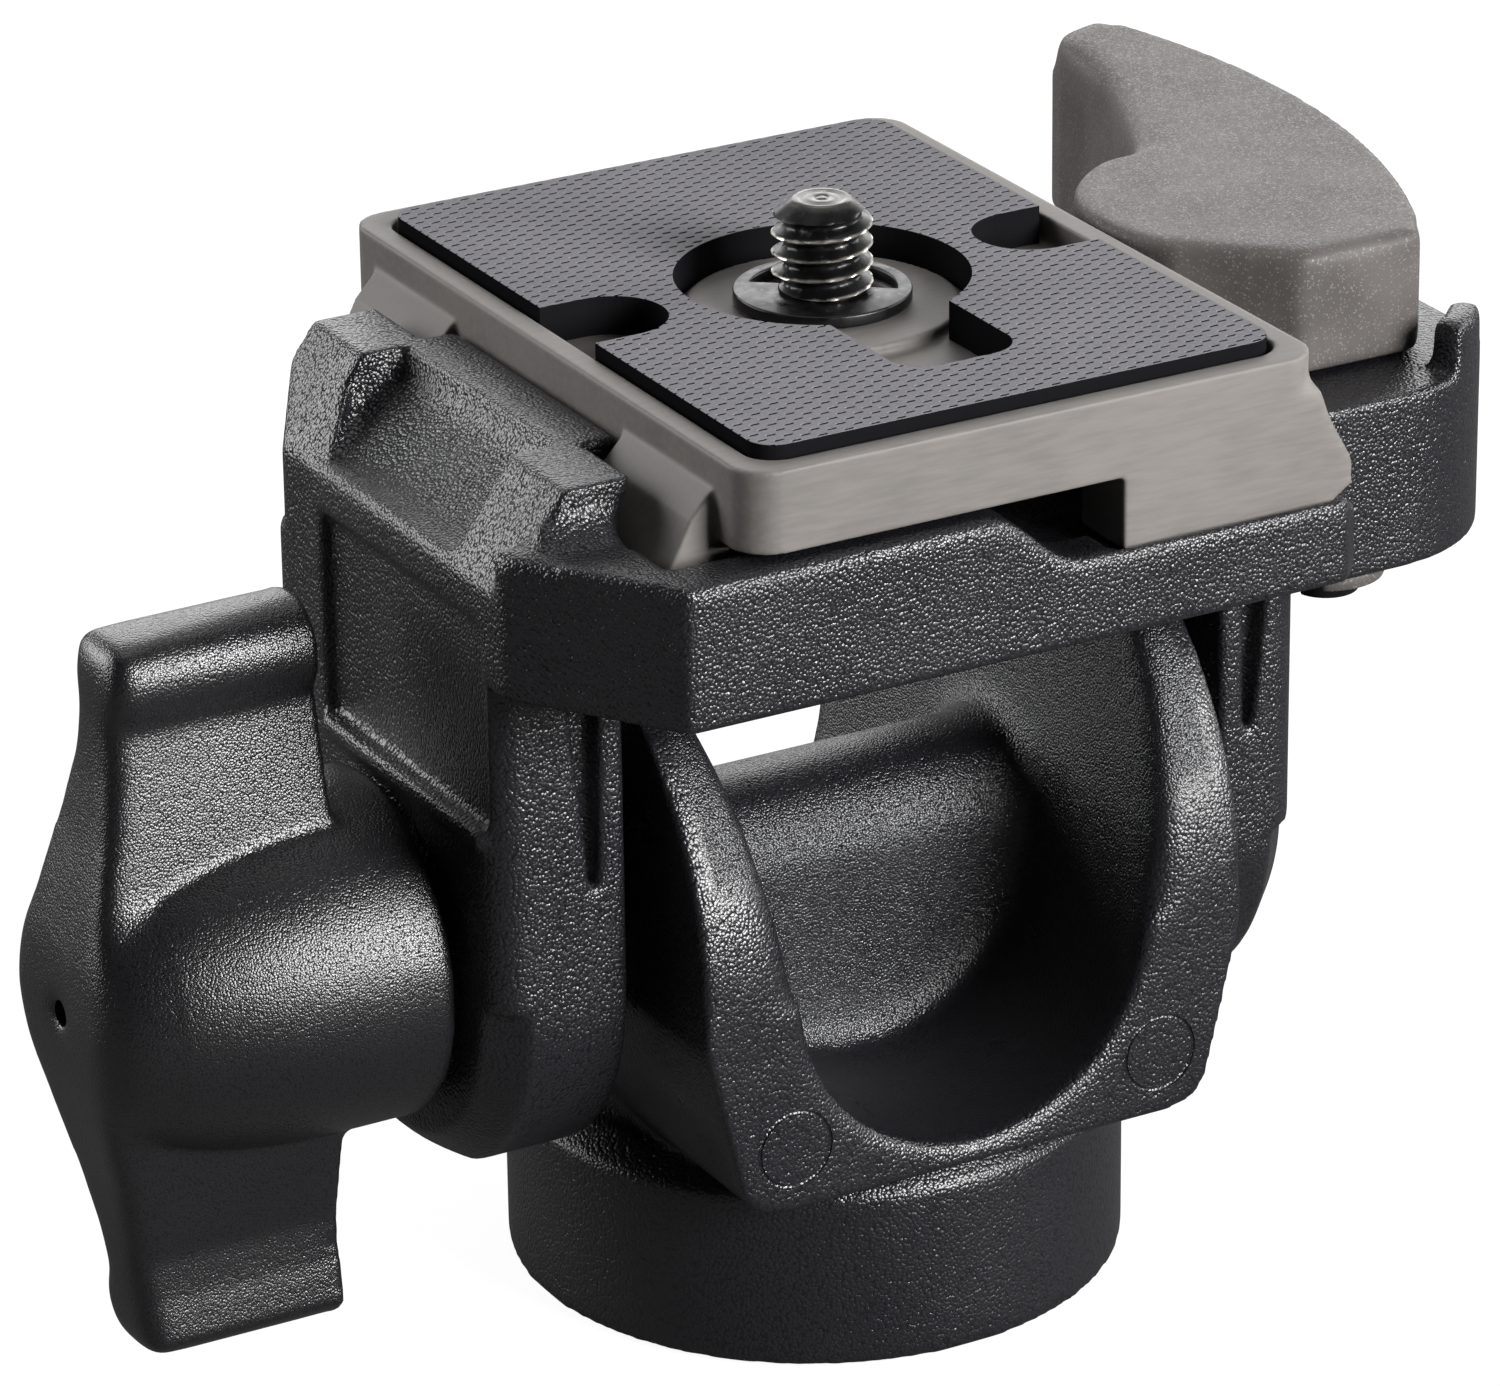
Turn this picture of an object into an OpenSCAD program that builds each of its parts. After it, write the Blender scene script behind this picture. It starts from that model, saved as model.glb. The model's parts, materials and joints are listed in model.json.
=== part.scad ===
// Monopod tilt head with a quick-release camera plate.
// Millimetres, +Z up. The origin is the centre of the foot's bottom face.
// X runs along the tilt axis, from the clamp knob (-X) to the lock lever (+X). The front is -Y.

/* [Foot and saddle] */
// Diameter of the round foot
foot_d = 40; // [38:0.5:46]
// Straight height of the foot below its shoulder
foot_h = 11.7; // [9:0.1:12.5]
// Height of the tilt axis above the foot's bottom face
axis_z = 28; // [27:0.5:32]
// Height of the saddle block's lower edge
saddle_z = 13.5; // [13:0.1:14.5]
// Width across the saddle's two arms
saddle_w = 38.4; // [36:0.2:42]
// Width of the saddle block at its lower edge
saddle_low_w = 32.8; // [30:0.2:36]
// Height at which the saddle's sides become upright
saddle_side_z = 25; // [20:0.5:27]
// Rounding of the saddle block's lower corners
saddle_round = 2.8; // [1:0.1:4]
// Depth of the saddle from front to back
saddle_d = 42; // [40:0.5:46]
// Width of the U opening between the arms
u_w = 24.4; // [20:0.2:26]
// How far the U opening's round end is centred below the tilt axis
u_drop = 0.7; // [0:0.1:1]
// Outward lean of the U opening's side walls, degrees
u_flare = 10; // [4:0.5:12]
// Diameter of the barrel that crosses the U opening
barrel_d = 11; // [10.6:0.2:13]
// Diameter of the ring marks on the front and back faces
mark_d = 5; // [3:0.5:6]
// Distance of the ring marks from the middle
mark_x = 13.2; // [12:0.1:14]
// Height of the ring marks
mark_z = 17.7; // [17:0.1:19]

/* [Monopod thread] */
// Minor diameter of the monopod thread
thread_d = 8; // [6:0.1:9]
// Depth of the monopod thread
thread_depth = 11; // [8:0.5:13]
// Outside diameter of the threaded insert
insert_d = 13; // [11:0.5:16]

/* [Tilt axle] */
// Diameter of the tilt bolt
bolt_d = 6; // [5:0.1:6.4]
// Diameter of the bolt's round head
bolt_head_d = 11; // [9:0.5:13]
// Thickness of the bolt's head
bolt_head_t = 2.8; // [2:0.1:3.2]
// Wall of the pivot bushes
bush_wall = 0.95; // [0.8:0.05:1.2]
// Length of each pivot bush inside the saddle
bush_len = 11; // [6:0.5:14]
// Diameter of the pivot bushes' flanges
flange_d = 18; // [14:0.5:22]
// Thickness of the flanges
flange_t = 1; // [0.6:0.1:1.4]
// Diameter of the friction washers
friction_d = 24; // [18:0.5:26]
// Thickness of the friction washers
friction_t = 0.95; // [0.6:0.05:1.4]
// Thickness of the plain washers under the bolt's head and the knob
washer_t = 0.8; // [0.5:0.1:1.2]

/* [Ears] */
// Width of the two ears, front to back
ear_w = 30; // [27:0.2:32]
// Height of the ears' lower ends below the tilt axis
ear_low = 13.7; // [12:0.1:14.5]
// Thickness of the left ear
ear_left_t = 9.1; // [7.5:0.1:10]
// Thickness of the right ear
ear_right_t = 6.3; // [5.6:0.1:8]
// Rounding of the ears' outer edges
ear_round = 2.4; // [1:0.1:2.6]
// Width of the grooves down the ears' edges
ear_groove_w = 2.2; // [1:0.1:3]
// Depth of the grooves down the ears' edges
ear_groove_d = 1.6; // [0.8:0.1:2.5]
// Height of the blank recessed panel on the left ear
panel_h = 13.4; // [10:0.1:14]
// Length of the blank recessed panel
panel_l = 21; // [14:0.5:23]
// Depth of the blank recessed panel
panel_depth = 0.8; // [0.4:0.1:1.2]
// Height of the ridge under the panel
ridge_h = 1.2; // [0.6:0.1:2]
// Diameter of the round pad on the left ear behind the knob
pad_boss_d = 20; // [18:0.5:21]
// How far that round pad stands out
pad_boss_t = 0.4; // [0.2:0.1:1]

/* [Platform] */
// Gap between the saddle's round top and the platform's underside
tilt_gap = 1; // [0.6:0.1:2]
// Distance of the platform's left face from the middle
left_x = 30.4; // [29.5:0.1:32]
// Half depth of the platform, front to back
half_d = 27.3; // [26.8:0.1:29]
// Thickness of the tray floor
floor_t = 4.6; // [4:0.1:6]
// Height of the raised left part of the front rail above the tray floor
rail_high = 4.75; // [3:0.05:4.8]
// Height of the low part of the rails above the tray floor
rail_low = 1.05; // [0.6:0.05:2]
// Thickness of the raised front rail
rail_t = 3.6; // [2:0.1:3.8]
// Height of the fixed jaw above the tray floor
jaw_h = 7.9; // [6.5:0.1:8.4]
// Height at which the jaw's sloping outer face starts, above the underside
jaw_slope_z = 6.3; // [5:0.1:7]
// Width of the jaw's flat top
jaw_top_w = 4.4; // [3:0.1:5]
// Length of the jaw, front to back
jaw_l = 33.6; // [30:0.2:36]
// Length of the tongue between the plate's left feet
tongue_l = 21; // [16:0.5:21.4]
// Length of the scoop in the jaw's outer face
scoop_l = 19.4; // [14:0.2:20]

/* [Lever boss] */
// Length of the lever boss, front to back
boss_l = 34.8; // [32:0.2:38]
// Reach of the boss to the right of the lever pivot
boss_reach = 11.2; // [10.5:0.1:13]
// Radius of the boss's outer corners
boss_round = 10.5; // [8:0.1:10.5]
// How far the boss hangs below the platform's underside
boss_drop = 4.8; // [3:0.1:6]
// Height of the boss's deck above the tray floor
boss_deck = 2.4; // [2:0.1:3]
// Height of the horn at the boss's front corner
horn_h = 3.4; // [2:0.1:5]
// Thickness of the horn
horn_t = 2.2; // [1.5:0.1:2.6]

/* [Camera plate] */
// Width of the camera plate
plate_w = 40; // [38:0.5:44]
// Length of the camera plate
plate_l = 52.4; // [50:0.2:53]
// Offset of the plate's middle from the tilt axle's middle
plate_x = 1.2; // [0:0.1:2]
// Height of the plate from its feet to its rim
plate_h = 10; // [9.8:0.1:11.5]
// Thickness of the plate's slab
slab_t = 5.3; // [4.8:0.1:5.3]
// Gap between the plate's feet and the tray floor
plate_gap = 0.4; // [0.3:0.05:0.8]
// How far the plate's dovetail feet spread past its rim
foot_spread = 2.5; // [1.5:0.1:2.6]
// Length of each of the plate's four feet
foot_l = 11; // [8:0.5:11.5]
// Distance of the plate's full-height front part from its middle
front_foot_x = 5.8; // [5:0.1:8]
// Width of the rim around the rubber pad
rim_w = 1.7; // [1:0.1:2.5]
// Diameter of the raised ring land around the camera screw
land_d = 17.4; // [14:0.1:17.6]
// Height of that land above the pad's seat
land_h = 0.7; // [0.4:0.1:1]

/* [Rubber pad] */
// Thickness of the rubber pad
pad_t = 2.55; // [1.8:0.05:3]
// Depth of the pad's seat below the plate's rim
seat_depth = 1.8; // [1.2:0.1:2.2]
// Gap between the pad and the rim
pad_gap = 0.35; // [0.2:0.05:0.6]
// Diameter of the pad's middle hole
hole_d = 18.6; // [18:0.1:20]
// Width of the channel from the hole to the front
channel_w = 8.4; // [6:0.1:10]
// Reach of that channel from the middle
channel_l = 17.6; // [14:0.1:20]
// Width of the two edge slots
slot_w = 7.2; // [5:0.1:9]
// Depth of the two edge slots
slot_l = 6.6; // [5:0.1:7]

/* [Camera screw] */
// Major diameter of the camera screw
screw_d = 6.35; // [5.5:0.05:6.4]
// Height of the screw's tip above the rim
screw_tip = 5.7; // [4:0.1:6.5]
// Diameter of the screw's slotted head
screw_head_d = 13; // [10:0.5:14]
// Thickness of the slotted head
screw_head_t = 2.4; // [1.8:0.1:2.8]
// Diameter of the retaining ring
ring_d = 11.2; // [9.5:0.1:13]
// Thickness of the retaining ring
ring_t = 0.8; // [0.5:0.1:0.9]

/* [Clamp knob] */
// Length of the knob's wing
wing_l = 48; // [42:0.2:50]
// Thickness of the wing at the axle
wing_root_t = 11.5; // [10:0.1:13]
// Height of the wing's thick middle part
wing_root_h = 8; // [6:0.1:10]
// Thickness of the wing beside the beads at its tips
wing_t = 3.9; // [3:0.1:5]
// Diameter of the beads at the wing's tips
bead_d = 6.6; // [5.6:0.1:7.5]
// Width of the wing along the axle
wing_w = 13.7; // [11:0.1:15]
// How far the outer end bulges past the wing's tips
wing_bulge = 3.6; // [2:0.1:4]
// Diameter of the knob's hub
hub_d = 22.4; // [20.8:0.1:23.6]
// Straight length of the hub from its washer to the wing
hub_l = 3.9; // [3:0.1:8]
// Wall of the hub's skirt around the washer
skirt_wall = 1.2; // [0.8:0.1:1.6]
// Outside diameter of the knob's brass insert
nut_d = 9.6; // [8.6:0.1:11]
// Length of the knob's brass insert
nut_l = 9; // [6:0.5:10]
// Diameter of the hole in the knob's outer end
pin_hole_d = 1.6; // [1:0.1:2]

/* [Lock lever] */
// Radius of the lever's round cam nose
nose_r = 11.2; // [10:0.1:12]
// Gap between the cam nose and the plate
nose_gap = 0.2; // [0.15:0.05:0.3]
// Height of the lever's top above the plate's rim
lever_rise = 0.4; // [0:0.1:1]
// Gap between the lever and the boss's deck
lever_gap = 0.15; // [0.1:0.05:0.4]
// Distance of the cam flat from the lever's pivot
flat_r = 10.5; // [9.8:0.1:10.8]
// Reach of the lever's front block from the pivot
block_reach = 12; // [11:0.1:12.5]
// Width of the lever's front block
block_w = 9.6; // [8:0.1:10]
// Reach of the lever's tip behind the pivot
tail_reach = 35.4; // [30:0.2:38]
// Radius of the lever's long outer curve
lever_curve = 60; // [50:1:75]
// How far the finger tab hangs below the boss's deck
tab_drop = 4.6; // [2:0.1:5]
// Diameter of the lever's pivot pin
pivot_d = 7; // [5.6:0.1:7]
// Diameter of the spring's wire
wire_d = 0.8; // [0.6:0.1:0.8]
// Number of turns in the lever's spring
spring_turns = 4; // [2:0.5:4]

/* [Trip pin] */
// Diameter of the trip pin
trip_d = 3; // [2.4:0.1:3.6]
// Diameter of the trip pin's collar
trip_collar_d = 4.6; // [4.2:0.1:5]
// Distance of the trip pin to the right of the plate's middle
trip_x = 10; // [9.5:0.1:11]

/* [Hidden] */
$fn = 96;

// Clearances
run_gap = 0.15;
turn_gap = 0.06;
fit_gap = 0.02;
hole_gap = 0.1;
cut = 1;

// Stack along the tilt axle
bore_r = bolt_d / 2 + turn_gap;
bush_r = bore_r + bush_wall;
friction_x = saddle_w / 2 + flange_t + run_gap;
ear_in = friction_x + friction_t;
ear_left_x = ear_in + ear_left_t;
ear_right_x = ear_in + ear_right_t;
head_depth = bolt_head_t + washer_t + 0.2;
head_x = ear_right_x - head_depth;
knob_washer_x = ear_left_x + pad_boss_t + hole_gap / 2;
hub_x = knob_washer_x + washer_t + run_gap;
skirt_x = ear_left_x + pad_boss_t + 2 * run_gap;
knob_washer_d = hub_d - 2 * skirt_wall - 4 * hole_gap;
wing_in = hub_x + hub_l;
wing_out = wing_in + wing_w;
nut_x = hub_x + 1.2;

// Heights
deck_z = axis_z + saddle_d / 2 + tilt_gap;
tray_z = deck_z + floor_t;
plate_z = tray_z + plate_gap;
rim_z = plate_z + plate_h;
slab_z = rim_z - slab_t;
seat_z = rim_z - seat_depth;
pad_z = seat_z + pad_t;
land_z = seat_z + land_h;
boss_top = tray_z + boss_deck;
boss_z = deck_z - boss_drop;
jaw_z = tray_z + jaw_h;
slope_z = deck_z + jaw_slope_z;
lever_z = boss_top + lever_gap;
lever_top = rim_z + lever_rise;

// Plan of the platform
rim_left = plate_x - plate_w / 2;
rim_right = plate_x + plate_w / 2;
foot_left = rim_left - foot_spread - 1.2;
foot_right = rim_right + foot_spread;
jaw_in = foot_left - 0.3;
tray_right = foot_right + 0.3;
front_left = left_x - 6.9;
diag_front = half_d - 10.3;
diag_back = half_d - 14.8;
pivot_x = rim_right + nose_gap + nose_r;
boss_x = pivot_x + boss_reach;
horn_x = boss_x - boss_round;
horn_y = -boss_l / 2 + boss_round;
cam_clear = nose_r + 8.1;
trip_at = [plate_x + trip_x, 0];

// Spring chamber under the boss
spring_gap = 0.3;
coil_r = pivot_d / 2 + wire_d / 2 + 0.5;
chamber_r = coil_r + wire_d / 2 + run_gap;
chamber_roof = 3;
chamber_h = boss_drop + floor_t - chamber_roof;
cover_t = 0.9;
cover_lap = 1.2;
cover_lobe_d = 7.6;
cover_bar_w = 6;
cover_flat = 4.6;
cover_gap = 0.3;
cover_room = 5;
cover_screw_d = 2.5;
cover_screw_l = 6.5;
cover_head_d = 4.4;
cover_head_t = 1.1;
cover_slot_w = 0.8;
screw_off = [-2.4, -13.2];

// Clip and bush of the lever's pin
lever_bush_wall = 1.1;
clip_t = 0.8;
clip_groove = 0.7;
clip_lap = 1.1;
clip_mouth = 2.6;
pivot_end = 0.9;

// Extrudes a shape drawn in Y and Z along X, centred.
module along_x(length) {
    rotate([90, 0, 90])
        linear_extrude(length, center = true)
            children();
}

// Extrudes a shape drawn in X and Z along Y, centred.
module along_y(length) {
    rotate([90, 0, 0])
        linear_extrude(length, center = true)
            children();
}

// A round bar along X, between two places on the tilt axis.
module axle_bar(from_x, to_x, d) {
    translate([from_x, 0, axis_z])
        rotate([0, 90, 0])
            cylinder(d = d, h = to_x - from_x);
}

// A flat rectangle with round corners, centred.
module round_rect(size, r) {
    square([size.x - 2 * r, size.y], center = true);
    square([size.x, size.y - 2 * r], center = true);
    for (sx = [-1, 1], sy = [-1, 1])
        translate([sx * (size.x / 2 - r), sy * (size.y / 2 - r)])
            circle(r);
}

// Side view of the saddle: upright faces that run into a round top about the tilt axis.
module saddle_side() {
    translate([0, axis_z])
        circle(d = saddle_d);
    translate([-saddle_d / 2, saddle_z])
        square([saddle_d, axis_z - saddle_z]);
}

// Front view of the saddle: sides that lean out, then stand upright.
module saddle_front() {
    top = axis_z + saddle_d / 2 + cut + saddle_round;
    offset(saddle_round)
        offset(delta = -saddle_round)
            polygon([[-saddle_low_w / 2, saddle_z], [saddle_low_w / 2, saddle_z],
                     [saddle_w / 2, saddle_side_z], [saddle_w / 2, top],
                     [-saddle_w / 2, top], [-saddle_w / 2, saddle_side_z]]);
}

// Front view of the U opening: a round end with walls that lean out.
module u_front() {
    r = u_w / 2;
    rise = saddle_d / 2 + u_drop + cut;
    side_x = r * cos(u_flare);
    side_z = -r * sin(u_flare);
    top_x = side_x + (rise - side_z) * tan(u_flare);
    translate([0, axis_z - u_drop]) {
        circle(r);
        polygon([[-side_x, side_z], [side_x, side_z], [top_x, rise], [-top_x, rise]]);
    }
}

// Wall across the U opening, with the barrel for the tilt bolt along its top.
module web() {
    axle_bar(-saddle_w, saddle_w, barrel_d);
    translate([-saddle_w, -barrel_d / 2, 0])
        cube([2 * saddle_w, barrel_d, axis_z]);
}

module base_casting() {
    color("#1d1d1f")
        difference() {
            union() {
                cylinder(d = foot_d, h = foot_h);
                translate([0, 0, foot_h])
                    cylinder(d1 = foot_d, d2 = saddle_low_w, h = saddle_z + 2 - foot_h);
                intersection() {
                    along_x(saddle_w) saddle_side();
                    along_y(saddle_d) saddle_front();
                }
            }
            difference() {
                along_y(saddle_d + 2 * cut) u_front();
                web();
            }
            axle_bar(-saddle_w / 2 - cut, saddle_w / 2 + cut, 2 * (bush_r + fit_gap));
            translate([0, 0, -cut])
                cylinder(d = insert_d + 2 * fit_gap, h = thread_depth + cut);
            for (sx = [-1, 1], sy = [-1, 1])
                translate([sx * mark_x, sy * saddle_d / 2, mark_z])
                    ring_mark();
        }
}

// Thin engraved circle on an upright face.
module ring_mark() {
    line = 0.3;
    depth = 0.2;
    rotate([90, 0, 0])
        difference() {
            cylinder(d = mark_d + line, h = 2 * depth, center = true);
            cylinder(d = mark_d - line, h = 2 * depth + cut, center = true);
        }
}

module thread_insert() {
    color("#b08d4a")
        difference() {
            cylinder(d = insert_d, h = thread_depth);
            translate([0, 0, -cut])
                cylinder(d = thread_d, h = thread_depth + 2 * cut);
        }
}

// Flanged bush on the +X side of the saddle.
module pivot_bush() {
    in_x = saddle_w / 2 - bush_len;
    difference() {
        union() {
            axle_bar(in_x, saddle_w / 2, 2 * bush_r);
            axle_bar(saddle_w / 2, saddle_w / 2 + flange_t, flange_d);
        }
        axle_bar(in_x - cut, saddle_w / 2 + flange_t + cut, 2 * bore_r);
    }
}

module pivot_bush_left() {
    color("#e8e4d8")
        mirror([1, 0, 0])
            pivot_bush();
}

module pivot_bush_right() {
    color("#e8e4d8")
        pivot_bush();
}

// Friction washer on the +X side, fixed to the ear.
module friction_washer() {
    difference() {
        axle_bar(friction_x, ear_in, friction_d);
        axle_bar(friction_x - cut, ear_in + cut, bolt_d + 2 * hole_gap);
    }
}

module friction_washer_left() {
    color("#3a3632")
        mirror([1, 0, 0])
            friction_washer();
}

module friction_washer_right() {
    color("#3a3632")
        friction_washer();
}

// Plan of the platform: cut corners on the left, square ones on the right.
module platform_plan() {
    polygon([[-left_x, -diag_front], [-front_left, -half_d], [tray_right - 1.6, -half_d],
             [tray_right, -half_d + 1.6], [tray_right, half_d - 1.6], [tray_right - 1.6, half_d],
             [-left_x + 10.1, half_d], [-left_x, diag_back]]);
}

// One ear, on the -X or +X side: a round lower end about the tilt axis and a straight upper part.
module ear(side, t) {
    outer = ear_in + t;
    translate([side * (outer - (t + ear_round) / 2), 0, axis_z])
        linear_extrude(deck_z + cut - axis_z)
            intersection() {
                round_rect([t + ear_round, ear_w], ear_round);
                translate([side * ear_round / 2, 0])
                    square([t, ear_w], center = true);
            }
    intersection() {
        translate([side * ear_in, 0, axis_z])
            rotate([0, side * 90, 0]) {
                cylinder(d = ear_w, h = t - ear_round);
                translate([0, 0, t - ear_round])
                    cylinder(d1 = ear_w, d2 = ear_w - 2 * ear_round, h = ear_round);
            }
        translate([side * outer - outer, -ear_w, axis_z - ear_low])
            cube([2 * outer, 2 * ear_w, 2 * ear_w]);
    }
}

// Wedge-shaped grooves down the front and back edges of an ear.
module ear_grooves(side) {
    low_z = axis_z + 3;
    near = ear_in + 1.7;
    for (sy = [-1, 1])
        translate([0, sy * ear_w / 2, 0])
            along_y(2 * ear_groove_d)
                polygon([[side * near, deck_z], [side * (near + ear_groove_w), deck_z], [side * (near + 0.3), low_z]]);
}

// Front view of the front rail: high on the left, low on the right, with a round step between.
module rail_front() {
    step_x = 0.3;
    step_w = 3.1;
    steps = 12;
    fall = rail_high - rail_low;
    curve = [for (i = [0 : steps])
        let (t = i / steps)
        [step_x + step_w * (2 * t - 1), tray_z + rail_low + fall * (1 + cos(180 * t)) / 2]];
    polygon(concat([[-left_x, deck_z], [-left_x, tray_z + rail_high]], curve,
                   [[tray_right, tray_z + rail_low], [tray_right, deck_z]]));
}

// Front view of the fixed jaw, with its sloping outer face and its overhung inner face.
module jaw_front() {
    hook = 1.3;
    top_out = jaw_in + hook - jaw_top_w;
    polygon([[-left_x, deck_z], [-left_x, slope_z], [top_out, jaw_z], [jaw_in + hook, jaw_z],
             [jaw_in, plate_z + 2.6], [jaw_in, deck_z]]);
}

// Front view of the tongue that fills the gap between the plate's left feet.
module tongue_front() {
    tip = rim_left - 0.3;
    polygon([[jaw_in - 0.1, deck_z], [jaw_in - 0.1, jaw_z], [tip, jaw_z], [tip, jaw_z - 1],
             [tip - 1.6, tray_z + 1.4], [tip - 1.6, deck_z]]);
}

// Front view of the scoop in the jaw's outer face.
module scoop_front() {
    polygon([[jaw_in + 0.6, jaw_z + cut], [jaw_in + 0.6, jaw_z], [-left_x + 4.8, slope_z + 1.6],
             [-left_x + 0.4, slope_z + 0.6], [-left_x - 4, slope_z + 0.5], [-left_x - 4, jaw_z + cut]]);
}

// Plan of the lever boss, square on the left and round on the right.
module boss_plan() {
    left = ear_in;
    length_x = boss_x - left;
    translate([left, -boss_l / 2])
        square([length_x - boss_round, boss_l]);
    translate([left, -boss_l / 2 + boss_round])
        square([length_x, boss_l - 2 * boss_round]);
    for (sy = [-1, 1])
        translate([boss_x - boss_round, sy * (boss_l / 2 - boss_round)])
            circle(boss_round);
}

// Short curved wall at the boss's front corner.
module horn() {
    from_a = -64;
    to_a = -34;
    reach = 2 * boss_round;
    translate([horn_x, horn_y, boss_top - cut])
        linear_extrude(horn_h + cut)
            intersection() {
                difference() {
                    circle(boss_round);
                    circle(boss_round - horn_t);
                }
                polygon([[0, 0], reach * [cos(from_a), sin(from_a)], reach * [cos(to_a), sin(to_a)]]);
            }
}

module platform_casting() {
    color("#1d1d1f")
        difference() {
            union() {
                translate([0, 0, deck_z])
                    linear_extrude(floor_t)
                        platform_plan();
                intersection() {
                    linear_extrude(2 * deck_z)
                        platform_plan();
                    platform_walls();
                }
                ear(-1, ear_left_t);
                ear(1, ear_right_t);
                axle_bar(-ear_left_x - pad_boss_t, -ear_left_x + cut, pad_boss_d);
                panel_ridge();
                translate([0, 0, boss_z])
                    linear_extrude(boss_top - boss_z)
                        boss_plan();
                horn();
            }
            platform_cuts();
        }
}

// Rails and jaw, before they are trimmed to the platform's plan.
module platform_walls() {
    translate([0, -half_d + rail_t / 2, 0])
        along_y(rail_t) rail_front();
    translate([-left_x, half_d - 1, deck_z])
        cube([left_x + tray_right, 1, floor_t + rail_low]);
    difference() {
        along_y(jaw_l) jaw_front();
        along_y(scoop_l) scoop_front();
    }
    along_y(tongue_l) tongue_front();
    translate([-left_x, -half_d, deck_z])
        cube([left_x + jaw_in, half_d - jaw_l / 2 + cut, floor_t + rail_high]);
    translate([-left_x, jaw_l / 2 - cut, deck_z])
        cube([left_x + jaw_in, half_d - jaw_l / 2, floor_t + rail_low]);
}

// Raised edge along the lower side of the blank panel.
module panel_ridge() {
    translate([-ear_left_x - panel_depth / 2, -panel_l / 2 - 3.2, panel_z() - ridge_h])
        cube([panel_depth, panel_l, ridge_h]);
}

function panel_z() = deck_z + jaw_slope_z - 2.6 - panel_h;

module platform_cuts() {
    panel_in = ear_left_x - panel_depth;
    translate([-left_x - cut, -panel_l / 2 - 3.2, panel_z()])
        cube([left_x + cut - panel_in, panel_l, panel_h]);
    axle_bar(-left_x - 2 * cut, ear_right_x + cut, bolt_d + 2 * hole_gap);
    axle_bar(head_x, ear_right_x + cut, bolt_head_d + 2 * hole_gap);
    translate([0, 0, tray_z])
        linear_extrude(boss_top)
            polygon([[plate_x + front_foot_x - 1, -plate_l / 2 - 0.3], [tray_right, -plate_l / 2 - 0.3],
                     [tray_right, plate_l / 2 + 0.3], [plate_x + front_foot_x - 1, plate_l / 2 + 0.3]]);
    ear_grooves(-1);
    ear_grooves(1);
    translate([pivot_x, 0, boss_z - cut]) {
        cylinder(r = chamber_r, h = chamber_h + cut);
        cylinder(d = lever_bush_d() + 2 * fit_gap, h = boss_top - boss_z + 2 * cut);
    }
    translate([pivot_x, 0, boss_z - cover_room])
        linear_extrude(cover_room)
            cover_plan(cover_gap);
    translate([pivot_x + screw_off.x, screw_off.y, boss_z - cut])
        cylinder(d = cover_screw_d + 2 * hole_gap, h = cover_screw_l + hole_gap + cut);
    translate([trip_at.x, trip_at.y, deck_z - cut]) {
        cylinder(d = trip_d + 2 * turn_gap, h = floor_t + 2 * cut);
        cylinder(d = trip_collar_d + 2 * turn_gap, h = floor_t - 0.8 + cut);
    }
}

// Tilt bolt, held by its head in the right ear.
module tilt_bolt() {
    color("#6f7276")
        difference() {
            union() {
                axle_bar(-nut_x - nut_l, head_x + washer_t, bolt_d);
                axle_bar(head_x + washer_t, head_x + washer_t + bolt_head_t, bolt_head_d);
            }
            translate([head_x + washer_t + bolt_head_t - 1.4, 0, axis_z])
                rotate([0, 90, 0])
                    cylinder(d = 5.8, h = 2 * cut + 1.4, $fn = 6);
        }
}

module head_washer() {
    color("#9a9c9f")
        difference() {
            axle_bar(head_x, head_x + washer_t, bolt_head_d);
            axle_bar(head_x - cut, head_x + washer_t + cut, bolt_d + 2 * hole_gap);
        }
}

module knob_washer() {
    color("#9a9c9f")
        difference() {
            axle_bar(-knob_washer_x - washer_t, -knob_washer_x, knob_washer_d);
            axle_bar(-knob_washer_x - washer_t - cut, -knob_washer_x + cut, bolt_d + 2 * hole_gap);
        }
}

// Front view of the knob's wing, about the tilt axis: a bulged outer end and drafted tips.
module wing_front() {
    tip = wing_l / 2;
    draft = 0.3;
    steps = 12;
    end = [for (i = [0 : steps])
        let (z = (tip - draft) * (1 - 2 * i / steps))
        [-wing_out - wing_bulge * exp(-pow(2 * z / tip, 2)), z]];
    polygon(concat([[-wing_in, -tip - draft], [-wing_in, tip + draft]], end));
}

// End view of the knob's wing, about the tilt axis: sides that lean in, and round beads.
module web_end() {
    tip = wing_l / 2 - bead_d / 2 + 0.3;
    root = [wing_root_t, wing_root_h] / 2;
    polygon([[-root.x, -root.y], [-root.x, root.y], [-wing_t / 2, tip], [wing_t / 2, tip],
             [root.x, root.y], [root.x, -root.y], [wing_t / 2, -tip], [-wing_t / 2, -tip]]);
    for (s = [-1, 1])
        translate([0, s * tip])
            circle(d = bead_d);
}

// Solid dome about the axle, from the hub to the wing's outer end.
module hub_dome() {
    steps = 12;
    length = wing_w + wing_bulge;
    wide = hub_d / 2;
    top = wing_root_t / 2;
    curve = [for (i = [0 : steps])
        let (t = i / steps)
        [top + (wide - top) * sqrt(max(0, 1 - pow(t, 1.9))), t * length]];
    rotate([0, -90, 0])
        rotate_extrude()
            polygon(concat([[0, 0]], curve, [[0, length]]));
}

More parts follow.
